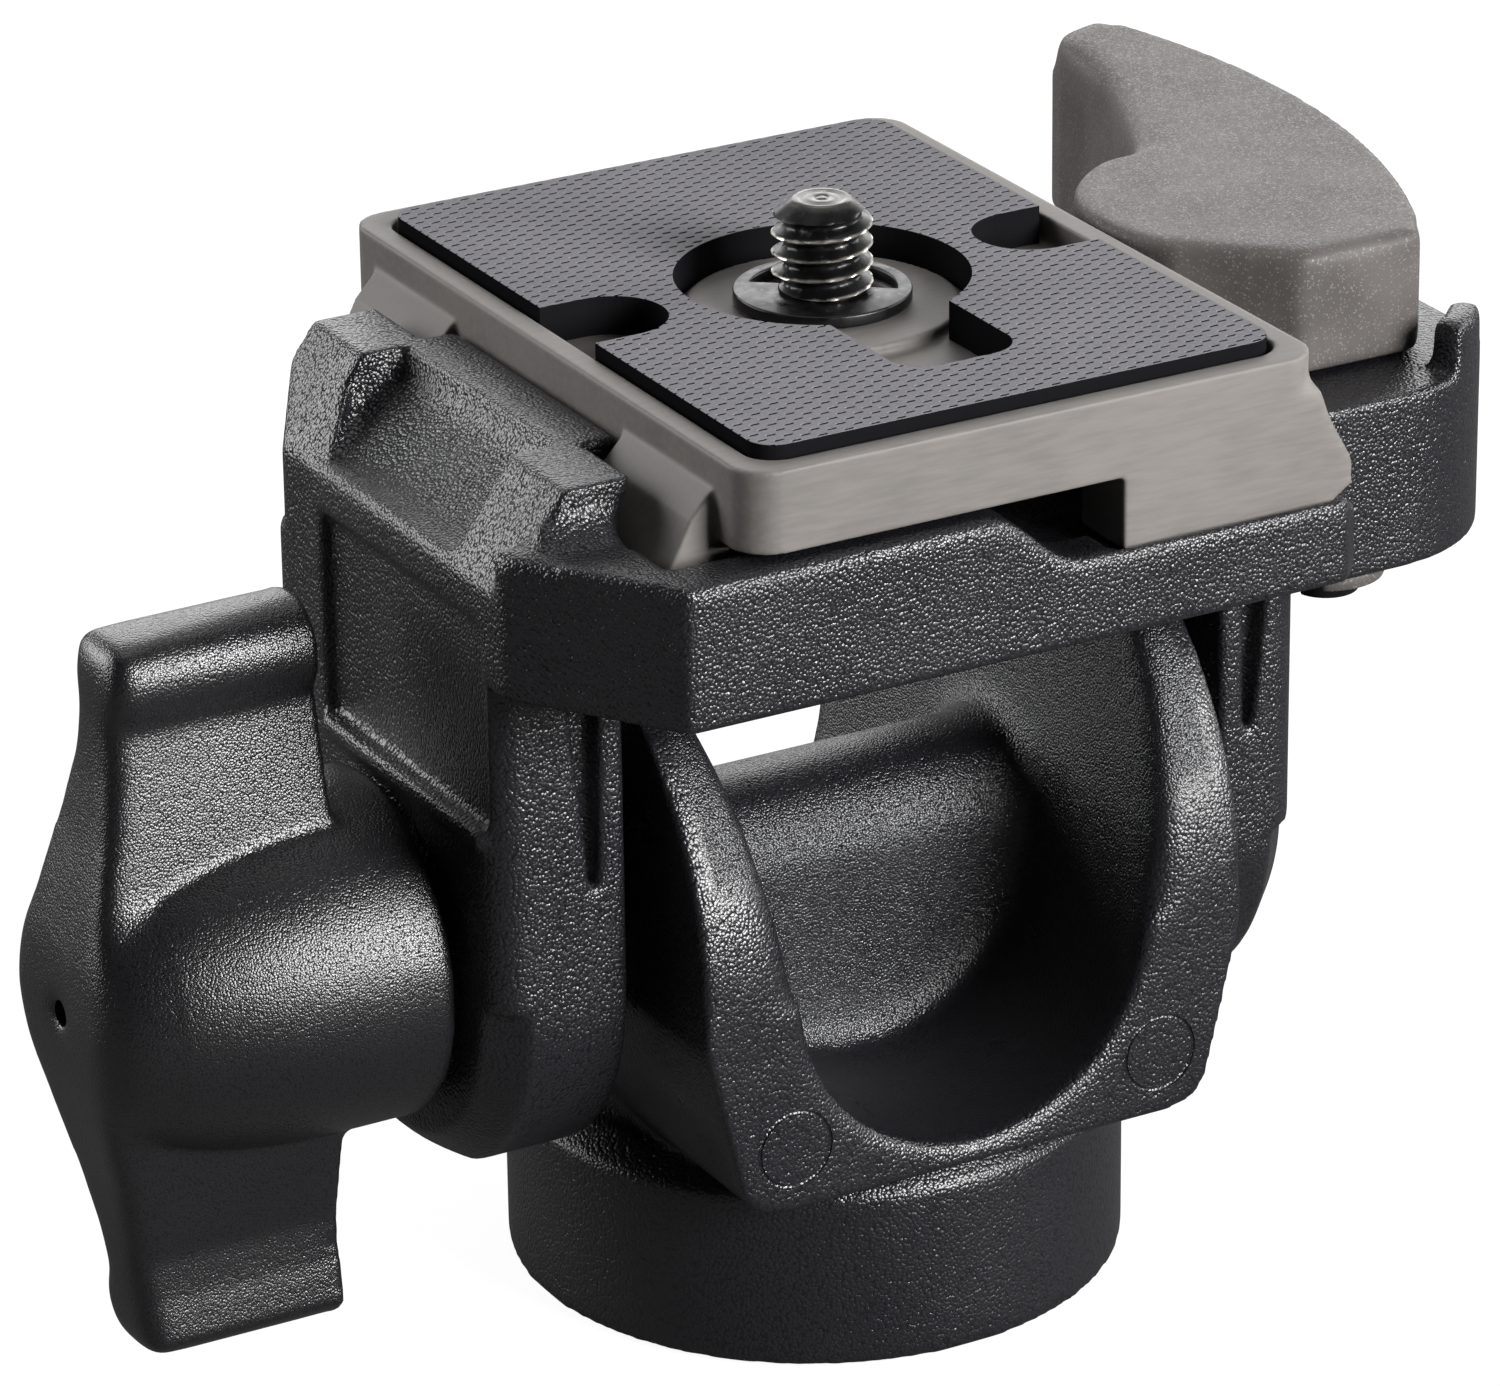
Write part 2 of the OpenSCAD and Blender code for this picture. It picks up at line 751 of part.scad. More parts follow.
module knob_wing() {
    color("#232325")
        difference() {
            union() {
                translate([0, 0, axis_z])
                    intersection() {
                        along_y(hub_d + 2 * cut) wing_front();
                        union() {
                            along_x(4 * wing_out) web_end();
                            translate([-wing_in, 0, 0]) hub_dome();
                        }
                    }
                axle_bar(-wing_in, -skirt_x, hub_d);
            }
            axle_bar(-hub_x, -skirt_x + cut, hub_d - 2 * skirt_wall);
            axle_bar(-nut_x - nut_l, -hub_x + cut, nut_d + 2 * fit_gap);
            axle_bar(-wing_out - wing_bulge - cut, -wing_out, pin_hole_d);
        }
}

module knob_insert() {
    color("#b08d4a")
        difference() {
            axle_bar(-nut_x - nut_l, -nut_x, nut_d);
            axle_bar(-nut_x - nut_l - cut, -nut_x + cut, bolt_d + 2 * turn_gap);
        }
}

// Front view of the plate's right dovetail foot.
module right_foot_front() {
    polygon([[rim_right - 6, plate_z], [foot_right - 1.9, plate_z], [foot_right - 0.1, plate_z + 1.2],
             [foot_right, plate_z + 2.5], [rim_right + 0.8, plate_z + 5.5], [rim_right, plate_z + 7.8],
             [rim_right - 6, plate_z + 7.8]]);
}

// Front view of the plate's right side where the cam nose presses.
module cam_seat_front() {
    polygon([[rim_right - 6, plate_z], [rim_right + 0.2, plate_z], [rim_right + 0.5, plate_z + 2.2],
             [rim_right, plate_z + 6], [rim_right - 6, plate_z + 6]]);
}

// Front view of the plate's left dovetail foot.
module left_foot_front() {
    polygon([[rim_left + 5, plate_z], [foot_left + 0.6, plate_z], [foot_left, plate_z + 1],
             [foot_left, plate_z + 2], [rim_left - 1.6, plate_z + 6.2], [rim_left, plate_z + 8],
             [rim_left + 5, plate_z + 8]]);
}

module plate_casting() {
    right_l = plate_l / 2 - 13.5;
    left_y = tongue_l / 2 + 0.5 + foot_l / 2;
    color("#8a8580")
        difference() {
            union() {
                translate([plate_x, 0, slab_z])
                    linear_extrude(slab_t)
                        round_rect([plate_w, plate_l], 2.5);
                along_y(2 * (plate_l / 2 - right_l) + cut) cam_seat_front();
                for (s = [-1, 1]) {
                    translate([0, s * (plate_l - right_l) / 2, 0])
                        along_y(right_l) right_foot_front();
                    translate([0, s * left_y, 0])
                        along_y(foot_l) left_foot_front();
                }
                translate([plate_x + front_foot_x, -plate_l / 2, plate_z])
                    cube([plate_w / 2 - 0.4 - front_foot_x, 5, plate_h - slab_t + cut]);
            }
            translate([plate_x, 0, seat_z])
                linear_extrude(seat_depth + cut)
                    difference() {
                        round_rect([plate_w - 2 * rim_w, plate_l - 2 * rim_w], 2);
                        circle(d = land_d);
                    }
            translate([plate_x, 0, land_z])
                cylinder(d = land_d + cut, h = seat_depth + cut);
            translate([plate_x, 0, slab_z - cut])
                cylinder(d = screw_d + 2 * turn_gap, h = slab_t + 2 * cut);
        }
}

// Plan of the rubber pad, about the plate's middle.
module pad_plan() {
    size_x = plate_w - 2 * rim_w - 2 * pad_gap;
    size_y = plate_l - 2 * rim_w - 2 * pad_gap;
    difference() {
        round_rect([size_x, size_y], 1.8);
        circle(d = hole_d);
        translate([0, -channel_l / 2])
            square([channel_w, channel_l - 4], center = true);
        translate([0, -channel_l + 4])
            round_rect([channel_w, 8], 2.4);
        for (s = [-1, 1]) {
            translate([s * (size_x / 2 - slot_l + slot_w / 2), 0])
                circle(d = slot_w);
            translate([s * (size_x / 2 - slot_l + slot_w / 2 + slot_l), 0])
                square([2 * slot_l, slot_w], center = true);
        }
    }
}

module rubber_pad() {
    color("#4a4a4d")
        translate([plate_x, 0, seat_z])
            linear_extrude(pad_t)
                pad_plan();
}

// Outline of the camera screw: slotted head, plain shank, ring groove and thread at its major size.
function screw_outline() =
    let (r = screw_d / 2, tip_z = rim_z + screw_tip, chamfer = 0.7,
         head_top = slab_z - run_gap, groove_z = land_z + run_gap)
    [[0, head_top - screw_head_t], [screw_head_d / 2, head_top - screw_head_t],
     [screw_head_d / 2, head_top], [r, head_top], [r, groove_z], [r - 0.5, groove_z],
     [r - 0.5, groove_z + ring_t], [r, groove_z + ring_t], [r, tip_z - chamfer],
     [r - chamfer, tip_z], [0, tip_z]];

module camera_screw() {
    color("#3a3a3a")
        translate([plate_x, 0, 0])
            difference() {
                rotate_extrude()
                    polygon(screw_outline());
                translate([-screw_head_d, -0.9, slab_z - run_gap - screw_head_t - cut])
                    cube([2 * screw_head_d, 1.8, 1.2 + cut]);
            }
}

// Flat ring on the screw, with a half-moon window behind the thread.
module screw_retainer() {
    window_d = ring_d - 2.5;
    color("#2a2a2b")
        translate([plate_x, 0, land_z + run_gap])
            linear_extrude(ring_t)
                difference() {
                    circle(d = ring_d);
                    intersection() {
                        circle(d = window_d);
                        translate([-ring_d, 0.3])
                            square([2 * ring_d, ring_d]);
                    }
                    circle(d = screw_d - 1 + 2 * fit_gap);
                }
}

// Disc that bounds the lever along its long outer curve, about its pivot.
module lever_bound() {
    translate([boss_reach + 1.9 - lever_curve, tail_reach / 2])
        circle(lever_curve, $fn = 200);
}

// Plan of the lever's block and handle, about its pivot.
module lever_plan() {
    right = boss_reach + 1.9;
    block_left = -block_reach + 8.2;
    block_right = block_left + block_w + 4;
    intersection() {
        lever_bound();
        polygon([[block_left, -block_reach], [block_right, -block_reach], [right + 4, 0],
                 [right + 4, tail_reach], [right - 6.2, tail_reach], [right - 7.5, tail_reach - 3.2],
                 [right - 8.1, tail_reach - 7.4], [right - 9.1, tail_reach - 11.4],
                 [right - 10.7, tail_reach - 15.4], [right - 12.9, tail_reach - 20.4],
                 [-3, 9], [-3, 0]]);
    }
}

// Round cam nose about the pivot, coned where it presses on the plate, with its flat.
module cam_nose(body_h) {
    cone_h = 3.8;
    flat_a = 233;
    difference() {
        union() {
            cylinder(r1 = nose_r - 0.5, r2 = nose_r, h = cone_h);
            translate([0, 0, cone_h])
                cylinder(r = nose_r, h = body_h - cone_h);
        }
        rotate(flat_a)
            translate([flat_r, -nose_r, -cut])
                cube([nose_r, 2 * nose_r, body_h + 2 * cut]);
    }
}

module lock_lever() {
    body_h = lever_top - lever_z;
    color("#8d8781")
        translate([pivot_x, 0, lever_z])
            difference() {
                union() {
                    linear_extrude(body_h)
                        lever_plan();
                    intersection() {
                        cam_nose(body_h);
                        linear_extrude(body_h)
                            lever_bound();
                    }
                    translate([0, 0, -tab_drop])
                        linear_extrude(tab_drop + cut)
                            difference() {
                                lever_plan();
                                circle(cam_clear);
                                translate([-2 * nose_r, -4 * nose_r])
                                    square([6 * nose_r, 4 * nose_r]);
                            }
                }
                translate([0, 0, -cut])
                    cylinder(d = pivot_d + 2 * fit_gap, h = body_h - 2 + cut);
            }
}

module lever_pivot() {
    low = boss_z - cover_t - clip_t - pivot_end;
    color("#7c7f83")
        translate([pivot_x, 0, 0])
            difference() {
                translate([0, 0, low])
                    cylinder(d = pivot_d, h = lever_top - 2.1 - low);
                translate([0, 0, clip_z()])
                    difference() {
                        cylinder(d = pivot_d + cut, h = clip_t + 2 * fit_gap);
                        translate([0, 0, -cut])
                            cylinder(d = pivot_d - 2 * clip_groove, h = clip_t + 2 * cut);
                    }
            }
}

function clip_z() = boss_z - cover_t - clip_t - run_gap;

function lever_bush_d() = pivot_d + 2 * turn_gap + 2 * lever_bush_wall;

module lever_bush() {
    low = boss_z + chamber_h;
    color("#b08d4a")
        translate([pivot_x, 0, low])
            difference() {
                cylinder(d = lever_bush_d(), h = boss_top - low);
                translate([0, 0, -cut])
                    cylinder(d = pivot_d + 2 * turn_gap, h = boss_top - low + 2 * cut);
            }
}

// Round wire swept along a helix, as one closed tube with flat ends.
module coil(r, wire, pitch, turns) {
    per_turn = 12;
    sides = 6;
    rings = floor(turns * per_turn);
    points = [for (i = [0 : rings], k = [0 : sides - 1])
        let (a = 360 * i / per_turn, b = 360 * k / sides, rr = r + wire / 2 * cos(b))
        [rr * cos(a), rr * sin(a), pitch * i / per_turn + wire / 2 * sin(b)]];
    walls = [for (i = [0 : rings - 1], k = [0 : sides - 1])
        let (n = (k + 1) % sides, p = i * sides)
        each [[p + k, p + sides + k, p + sides + n], [p + k, p + sides + n, p + n]]];
    first_end = [for (k = [1 : sides - 2]) [0, k, k + 1]];
    last = rings * sides;
    last_end = [for (k = [1 : sides - 2]) [last, last + k + 1, last + k]];
    polyhedron(points, concat(walls, first_end, last_end));
}

module lever_spring() {
    pitch = (chamber_h - wire_d - 2 * spring_gap) / spring_turns;
    color("#8f9296")
        translate([pivot_x, 0, boss_z + wire_d / 2 + spring_gap])
            coil(coil_r, wire_d, pitch, spring_turns);
}

// Plan of the keeper plate about the pivot, with a lobe for its screw and a flat towards the ear,
// grown by a gap for the room that it needs.
module cover_plan(gap) {
    reach = 2 * norm(screw_off);
    difference() {
        union() {
            circle(chamber_r + cover_lap + gap);
            translate(screw_off)
                circle(d = cover_lobe_d + 2 * gap);
            rotate(atan2(screw_off.y, screw_off.x))
                translate([0, -cover_bar_w / 2 - gap])
                    square([norm(screw_off), cover_bar_w + 2 * gap]);
        }
        translate([-cover_flat - gap - reach, -reach])
            square([reach, 2 * reach]);
    }
}

// Keeper plate under the boss.
module spring_cover() {
    color("#8d8781")
        translate([pivot_x, 0, boss_z - cover_t])
            linear_extrude(cover_t)
                difference() {
                    cover_plan(0);
                    circle(d = pivot_d + 2 * hole_gap);
                    translate(screw_off)
                        circle(d = cover_screw_d + 2 * hole_gap);
                }
}

module cover_screw() {
    color("#2a2a2b")
        translate([pivot_x + screw_off.x, screw_off.y, boss_z - cover_t]) {
            cylinder(d = cover_screw_d, h = cover_t + cover_screw_l);
            translate([0, 0, -cover_head_t])
                difference() {
                    cylinder(d = cover_head_d, h = cover_head_t);
                    translate([-cover_head_d, -cover_slot_w / 2, -cut])
                        cube([2 * cover_head_d, cover_slot_w, cut + cover_head_t / 2]);
                }
        }
}

module lever_clip() {
    color("#5a5c60")
        translate([pivot_x, 0, clip_z() + fit_gap])
            linear_extrude(clip_t)
                difference() {
                    circle(d = pivot_d + 2 * clip_lap);
                    circle(d = pivot_d - 2 * clip_groove + 2 * fit_gap);
                    translate([0, -clip_mouth / 2])
                        square([pivot_d, clip_mouth]);
                }
}

// Sprung pin that senses the plate: a stem, with a collar inside the floor.
module trip_pin() {
    collar_top = deck_z + floor_t - 0.8 - run_gap;
    color("#b08d4a")
        translate([trip_at.x, trip_at.y, 0]) {
            translate([0, 0, collar_top - 1])
                cylinder(d = trip_collar_d, h = 1);
            translate([0, 0, collar_top - cut])
                cylinder(d = trip_d, h = slab_z - run_gap - collar_top + cut);
        }
}

module trip_plug() {
    color("#5a5c60")
        translate([trip_at.x, trip_at.y, deck_z])
            difference() {
                cylinder(d = trip_collar_d, h = 0.7);
                translate([-3, -0.3, -cut])
                    cube([6, 0.6, cut + 0.3]);
            }
}

module trip_spring() {
    wire = 0.4;
    low = deck_z + 0.7 + wire / 2 + 0.03;
    high = deck_z + floor_t - 0.8 - run_gap - 1 - wire / 2 - 0.03;
    turns = 1.5;
    color("#8f9296")
        translate([trip_at.x, trip_at.y, low])
            coil(trip_collar_d / 2 - 0.5, wire, (high - low) / turns, turns);
}

base_casting();
thread_insert();
pivot_bush_left();
pivot_bush_right();
friction_washer_left();
friction_washer_right();
platform_casting();
tilt_bolt();
head_washer();
knob_washer();
knob_wing();
knob_insert();
plate_casting();
rubber_pad();
camera_screw();
screw_retainer();
lock_lever();
lever_pivot();
lever_bush();
lever_spring();
spring_cover();
cover_screw();
lever_clip();
trip_pin();
trip_spring();
trip_plug();
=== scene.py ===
"""Monopod tilt head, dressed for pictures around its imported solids. Lengths are in metres."""
import json
import math

import bpy
import numpy as np
from mathutils import Matrix, Vector


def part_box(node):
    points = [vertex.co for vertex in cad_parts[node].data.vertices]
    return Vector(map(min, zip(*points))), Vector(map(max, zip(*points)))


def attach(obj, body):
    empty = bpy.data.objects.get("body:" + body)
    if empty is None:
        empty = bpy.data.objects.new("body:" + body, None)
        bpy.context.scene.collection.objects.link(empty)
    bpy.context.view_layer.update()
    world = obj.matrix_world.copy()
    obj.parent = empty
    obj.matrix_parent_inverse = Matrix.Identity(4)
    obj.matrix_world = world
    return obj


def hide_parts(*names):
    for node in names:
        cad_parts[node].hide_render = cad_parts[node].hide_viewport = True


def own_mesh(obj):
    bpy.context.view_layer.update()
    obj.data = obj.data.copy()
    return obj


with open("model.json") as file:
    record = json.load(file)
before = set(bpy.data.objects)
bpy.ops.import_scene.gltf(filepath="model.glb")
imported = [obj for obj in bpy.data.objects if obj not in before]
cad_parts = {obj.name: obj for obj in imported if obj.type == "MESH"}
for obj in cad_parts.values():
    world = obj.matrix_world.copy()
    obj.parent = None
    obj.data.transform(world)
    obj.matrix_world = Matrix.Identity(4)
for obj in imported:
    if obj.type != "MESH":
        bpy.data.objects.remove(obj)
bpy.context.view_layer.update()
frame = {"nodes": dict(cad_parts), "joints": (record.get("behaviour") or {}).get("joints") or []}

bl_info = {
    "name": "Monopod tilt head",
    "version": (1, 0, 0),
    "blender": (4, 5, 0),
    "location": "View3D > Sidebar > Tilt head",
    "description": "Models and finishes the pieces of a monopod tilt head around its solids",
    "category": "Object",
}

MM = 0.001
NODES = frame["nodes"]
TRIANGLE_LIMIT = 180000


def joint_place(name):
    """A joint's place in millimetres, read from the frame."""
    joint = next(j for j in frame["joints"] if j["name"] == name)
    return [1000 * c for c in joint["pos_m"]]


# Places in millimetres that the pieces share.
AXIS_Z = joint_place("tilt")[2]
SCREW_X = joint_place("screw_turn")[0]
PIVOT_X = joint_place("lever_swing")[0]

# The saddle's U opening: a half circle with walls that flare out above it.
U_RADIUS = 12.2
U_FLARE = math.radians(10)
U_CENTRE_Z = AXIS_Z - 0.7


def length(name, description, value, low, high):
    """A length property, from values in millimetres."""
    return bpy.props.FloatProperty(
        name=name, description=description, default=value * MM, min=low * MM, max=high * MM,
        precision=5, unit="LENGTH")


class HeadSizes(bpy.types.PropertyGroup):
    """Sizes of the surface detail."""

    coat_grain: length("Coat grain", "Size of the bumps in the castings' coat", 0.23, 0.1, 2)
    fine_grain: length(
        "Fine grain", "Size of the bumps in the U opening and on the knob", 0.15, 0.1, 2)
    dash_pitch: length(
        "Dash pitch", "Distance between two dashes in one row of the pad", 1.78, 0.5, 3)
    dash_row: length("Dash row", "Distance between two rows of dashes", 0.49, 0.3, 2)
    dash_depth: length("Dash depth", "Depth of the pressed dashes", 0.2, 0.02, 0.4)
    screw_pitch: length("Screw pitch", "Pitch of the camera screw's thread", 1.27, 0.5, 3)
    foot_pitch: length("Foot pitch", "Pitch of the monopod thread in the foot", 1.5875, 0.5, 3)
    trip_travel: length(
        "Trip travel", "How far the trip pin goes down and shortens its spring", 1.0, 0.2, 1.5)


def colour(name, description, value):
    """A colour property with its default."""
    return bpy.props.FloatVectorProperty(
        name=name, description=description, default=value, size=3, min=0, max=1, subtype="COLOR")


class HeadColours(bpy.types.PropertyGroup):
    """Colours of the finishes."""

    casting: colour("Casting", "Powder coat of the foot and the platform", (0.0085, 0.0083, 0.0105))
    knob: colour("Knob", "Moulded wing knob", (0.008, 0.0078, 0.009))
    plate: colour("Plate", "Satin camera plate", (0.18, 0.167, 0.157))
    lever: colour("Lever", "Sparkling paint of the lever and its cover", (0.09, 0.0815, 0.077))
    # Rubber: the pad's grey, partly lightened as painted sheen of grazing light.
    rubber: colour("Rubber", "Pad of the camera plate", (0.187, 0.183, 0.194))
    # Dash: painted shade in the pressed dashes; the pad's sides take this colour too.
    dash: colour("Dash", "Pressed dashes of the pad", (0.008, 0.008, 0.009))
    oxide: colour("Oxide", "Black oxide of the screw and its ring", (0.03, 0.03, 0.031))
    bright: colour("Bright", "Worn steel on the thread's crests", (0.55, 0.52, 0.47))
    steel: colour("Steel", "Zinc plated bolt and washers", (0.52, 0.53, 0.54))
    brass: colour("Brass", "Inserts and pins", (0.66, 0.48, 0.20))
    acetal: colour("Acetal", "Pivot bushes", (0.74, 0.72, 0.66))
    fibre: colour("Fibre", "Friction washers", (0.06, 0.052, 0.047))
    floor: colour("Floor", "Studio floor", (0.1, 0.1, 0.1))


# Working with objects and selections


def deselect():
    """Leaves edit mode and deselects everything."""
    if bpy.context.object and bpy.context.object.mode != "OBJECT":
        bpy.ops.object.mode_set(mode="OBJECT")
    bpy.ops.object.select_all(action="DESELECT")


def take(obj):
    """Makes one object the only selected and active one."""
    deselect()
    obj.select_set(True)
    bpy.context.view_layer.objects.active = obj


def new_piece(name):
    """Names the primitive that was just added."""
    obj = bpy.context.object
    obj.name = name
    obj.data.name = name
    return obj


def apply_place(obj):
    """Puts an object's place into its mesh."""
    take(obj)
    bpy.ops.object.transform_apply(location=True, rotation=True, scale=True)


def places(obj):
    """A piece's points as rows of x, y and z in millimetres."""
    flat = np.empty(len(obj.data.vertices) * 3, dtype=np.float32)
    obj.data.vertices.foreach_get("co", flat)
    return flat.reshape(-1, 3).astype(float) / MM


def set_places(obj, rows):
    """Moves a piece's points to rows of x, y and z in millimetres."""
    obj.data.vertices.foreach_set("co", (rows * MM).astype(np.float32).ravel())
    obj.data.update()


def edit_points(obj, chosen):
    """Enters edit mode with the chosen points selected."""
    take(obj)
    mesh = obj.data
    mesh.polygons.foreach_set("select", np.zeros(len(mesh.polygons), dtype=bool))
    mesh.edges.foreach_set("select", np.zeros(len(mesh.edges), dtype=bool))
    mesh.vertices.foreach_set("select", np.asarray(chosen, dtype=bool))
    bpy.context.tool_settings.mesh_select_mode = (True, False, False)
    bpy.ops.object.mode_set(mode="EDIT")
    bpy.ops.mesh.select_mode(type="VERT")


def edit_all(obj):
    """Enters edit mode with everything selected."""
    take(obj)
    bpy.ops.object.mode_set(mode="EDIT")
    bpy.ops.mesh.select_all(action="SELECT")


def leave_edit():
    """Goes back to object mode."""
    bpy.ops.object.mode_set(mode="OBJECT")


def apply_modifier(obj, kind, **settings):
    """Adds one modifier with its settings and applies it."""
    take(obj)
    mod = obj.modifiers.new(kind.lower(), kind)
    for key, value in settings.items():
        setattr(mod, key, value)
    bpy.ops.object.modifier_apply(modifier=mod.name)


def copy_of_node(node, name):
    """A new piece with a copy of a node's mesh, its loose triangles merged."""
    mesh = NODES[node].data.copy()
    mesh.name = name
    mesh.materials.clear()
    obj = bpy.data.objects.new(name, mesh)
    bpy.context.scene.collection.objects.link(obj)
    edit_all(obj)
    bpy.ops.mesh.customdata_custom_splitnormals_clear()
    bpy.ops.mesh.remove_doubles(threshold=1e-6)
    leave_edit()
    return obj


def even_skin(obj, voxel):
    """Covers a piece with one even skin of squares of a size in millimetres."""
    apply_modifier(obj, "REMESH", mode="VOXEL", voxel_size=voxel * MM, adaptivity=0.0)


def soften(obj, repeats, chosen=None):
    """Rounds the chosen part of a skin, or all of it."""
    if chosen is None:
        edit_all(obj)
    else:
        edit_points(obj, chosen)
    bpy.ops.mesh.vertices_smooth(factor=0.5, repeat=repeats)
    leave_edit()


def thin_out(obj, limit=TRIANGLE_LIMIT):
    """Takes triangles away from flat areas until a piece is under its limit."""
    obj.data.calc_loop_triangles()
    count = len(obj.data.loop_triangles)
    if count > limit:
        apply_modifier(obj, "DECIMATE", decimate_type="COLLAPSE", ratio=limit / count)


def bevelled(obj, width, segments=2, angle=40):
    """Joins a copied solid's flat faces and breaks its edges by a width in millimetres."""
    edit_all(obj)
    bpy.ops.mesh.dissolve_limited(angle_limit=math.radians(0.5))
    leave_edit()
    apply_modifier(obj, "BEVEL", width=width * MM, segments=segments, limit_method="ANGLE",
                   angle_limit=math.radians(angle), use_clamp_overlap=True)
    smooth_shaded(obj, angle=35)


def smooth_shaded(obj, angle=None):
    """Shades a piece smooth, but not across edges sharper than an angle in degrees."""
    take(obj)
    if angle is None:
        bpy.ops.object.shade_smooth()
    else:
        bpy.ops.object.shade_smooth_by_angle(angle=math.radians(angle))


def cut_with(obj, tool, operation):
    """Combines a piece with a tool solid and deletes the tool."""
    apply_modifier(obj, "BOOLEAN", object=tool, operation=operation, solver="MANIFOLD")
    bpy.data.objects.remove(tool)


def draw_points(points):
    """Draws a line in edit mode by moving the one selected point and extruding it on."""
    at = Vector((0, 0, 0))
    for i, to in enumerate(points):
        step = {"value": to - at}
        if i == 0:
            bpy.ops.transform.translate(**step)
        else:
            bpy.ops.mesh.extrude_region_move(TRANSFORM_OT_translate=step)
        at = to


def turned(name, outline, steps=96, centre=(0, 0)):
    """A turned piece: an outline of (radius, z) in millimetres, drawn point by point and spun."""
    deselect()
    bpy.ops.mesh.primitive_plane_add(size=MM, location=(0, 0, 0))
    obj = new_piece(name)
    edit_all(obj)
    bpy.ops.mesh.merge(type="CENTER")
    draw_points([Vector((r, 0, z)) * MM for r, z in outline])
    bpy.ops.mesh.select_all(action="SELECT")
    bpy.ops.mesh.spin(steps=steps, angle=2 * math.pi, center=(0, 0, 0), axis=(0, 0, 1))
    bpy.ops.mesh.select_all(action="SELECT")
    bpy.ops.mesh.remove_doubles(threshold=1e-6)
    bpy.ops.mesh.select_all(action="SELECT")
    bpy.ops.mesh.normals_make_consistent(inside=False)
    bpy.ops.transform.translate(value=(centre[0] * MM, centre[1] * MM, 0))
    leave_edit()
    return obj


def place(obj, body, slot, material, *nodes):
    """Gives a finished piece its finish, its body and the nodes that it stands for."""
    obj.data.materials.clear()
    obj.data.materials.append(material)
    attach(obj, body)
    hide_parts(*nodes)


def place_hardware(rows):
    """Small solids with broken edges, from rows of node, body, slot, finish and edge width."""
    for node, body, slot, material, edge in rows:
        obj = copy_of_node(node, node + "_part")
        bevelled(obj, edge)
        place(obj, body, slot, material, node)


# Materials


def add(tree, kind, options=None, **sockets):
    """One shader node, with values or links for its sockets; i0, i1 and i2 count sockets."""
    node = tree.nodes.new("ShaderNode" + kind)
    for key, value in (options or {}).items():
        setattr(node, key, value)
    for key, value in sockets.items():
        index = int(key[1:]) if key[0] == "i" and key[1:].isdigit() else key.replace("_", " ")
        socket = node.inputs[index]
        if isinstance(value, bpy.types.NodeSocket):
            tree.links.new(value, socket)
        else:
            socket.default_value = value
    return node


def maths(tree, operation, *values):
    """One maths node's output."""
    sockets = {f"i{i}": v for i, v in enumerate(values)}
    return add(tree, "Math", {"operation": operation}, **sockets).outputs[0]


def ramp(tree, value, low, high, to_low=0.0, to_high=1.0):
    """A value mapped smoothly from one range to another; the first range may run downwards."""
    if low > high:
        low, high, to_low, to_high = high, low, to_high, to_low
    return add(tree, "MapRange", {"interpolation_type": "SMOOTHSTEP"}, Value=value, From_Min=low,
               From_Max=high, To_Min=to_low, To_Max=to_high).outputs[0]


def tinted(tree, factor, first, second):
    """A colour between two colours."""
    node = add(tree, "Mix", {"data_type": "RGBA"}, i0=factor)
    node.inputs[6].default_value = (*first, 1)
    node.inputs[7].default_value = (*second, 1)
    return node.outputs[2]


def link(tree, value, shader, socket):
    """Feeds a value into one of a shader's sockets."""
    tree.links.new(value, shader.inputs[socket])


def bump(tree, shader, height, strength, distance):
    """Feeds a height into a shader as small bumps."""
    node = add(tree, "Bump", Height=height, Strength=strength, Distance=distance)
    link(tree, node.outputs[0], shader, "Normal")


def new_material(name):
    """A material, its node tree, its shader and the object coordinates."""
    mat = bpy.data.materials.new(name)
    mat.use_nodes = True
    tree = mat.node_tree
    spot = add(tree, "TexCoord").outputs["Object"]
    return mat, tree, tree.nodes["Principled BSDF"], spot


def shade(value, factor):
    """A colour made darker or lighter."""
    return tuple(factor * c for c in value)


def noise(tree, spot, size, detail=2.0, rough=0.5, warp=0.0):
    """Soft noise whose blobs are about the given size in metres."""
    return add(tree, "TexNoise", Vector=spot, Scale=0.5 / size, Detail=detail, Roughness=rough,
               Distortion=warp).outputs["Fac"]


def grain_height(tree, spot, size):
    """Pebbled coat: rounded bumps with low lines between them, where the coat paints shade."""
    bend = add(tree, "TexNoise", Vector=spot, Scale=0.35 / size, Detail=1.0).outputs["Color"]
    bent = add(tree, "VectorMath", {"operation": "MULTIPLY_ADD"}, i0=bend, i1=(0.5 * size,) * 3,
               i2=spot).outputs[0]
    cells = add(tree, "TexVoronoi", Vector=bent, Scale=1.0 / size).outputs["Distance"]
    domes = maths(tree, "MULTIPLY", cells, cells)
    fine = noise(tree, spot, 0.4 * size, 1.0)
    return maths(tree, "MULTIPLY_ADD", fine, 0.35, maths(tree, "MULTIPLY", domes, -1.0))


def coat_material(name, paint, grain, fine=None, fine_where=None, lift=0.24, rough=(0.27, 0.35)):
    """Powder coat over a casting, with a finer grain in one part where asked."""
    mat, tree, shader, spot = new_material(name)
    height = grain_height(tree, spot, grain)
    if fine:
        where = fine_where(tree, spot)
        height = add(tree, "Mix", i0=where, i2=height, i3=grain_height(tree, spot, fine)).outputs[0]
    bump(tree, shader, height, strength=1.0, distance=lift * grain)
    blotch = noise(tree, spot, 4 * MM, 3.0)
    link(tree, ramp(tree, blotch, 0.3, 0.7, *rough), shader, "Roughness")
    # Painted shade and light: the coat is darker in the grain's hollows and lighter on the bumps'
    # tops.
    hollow_shade = ramp(tree, height, -0.5, 0.05)
    link(tree, tinted(tree, hollow_shade, shade(paint, 0.55), shade(paint, 1.25)), shader, "Base Color")
    shader.inputs["Specular IOR Level"].default_value = 0.65
    return mat


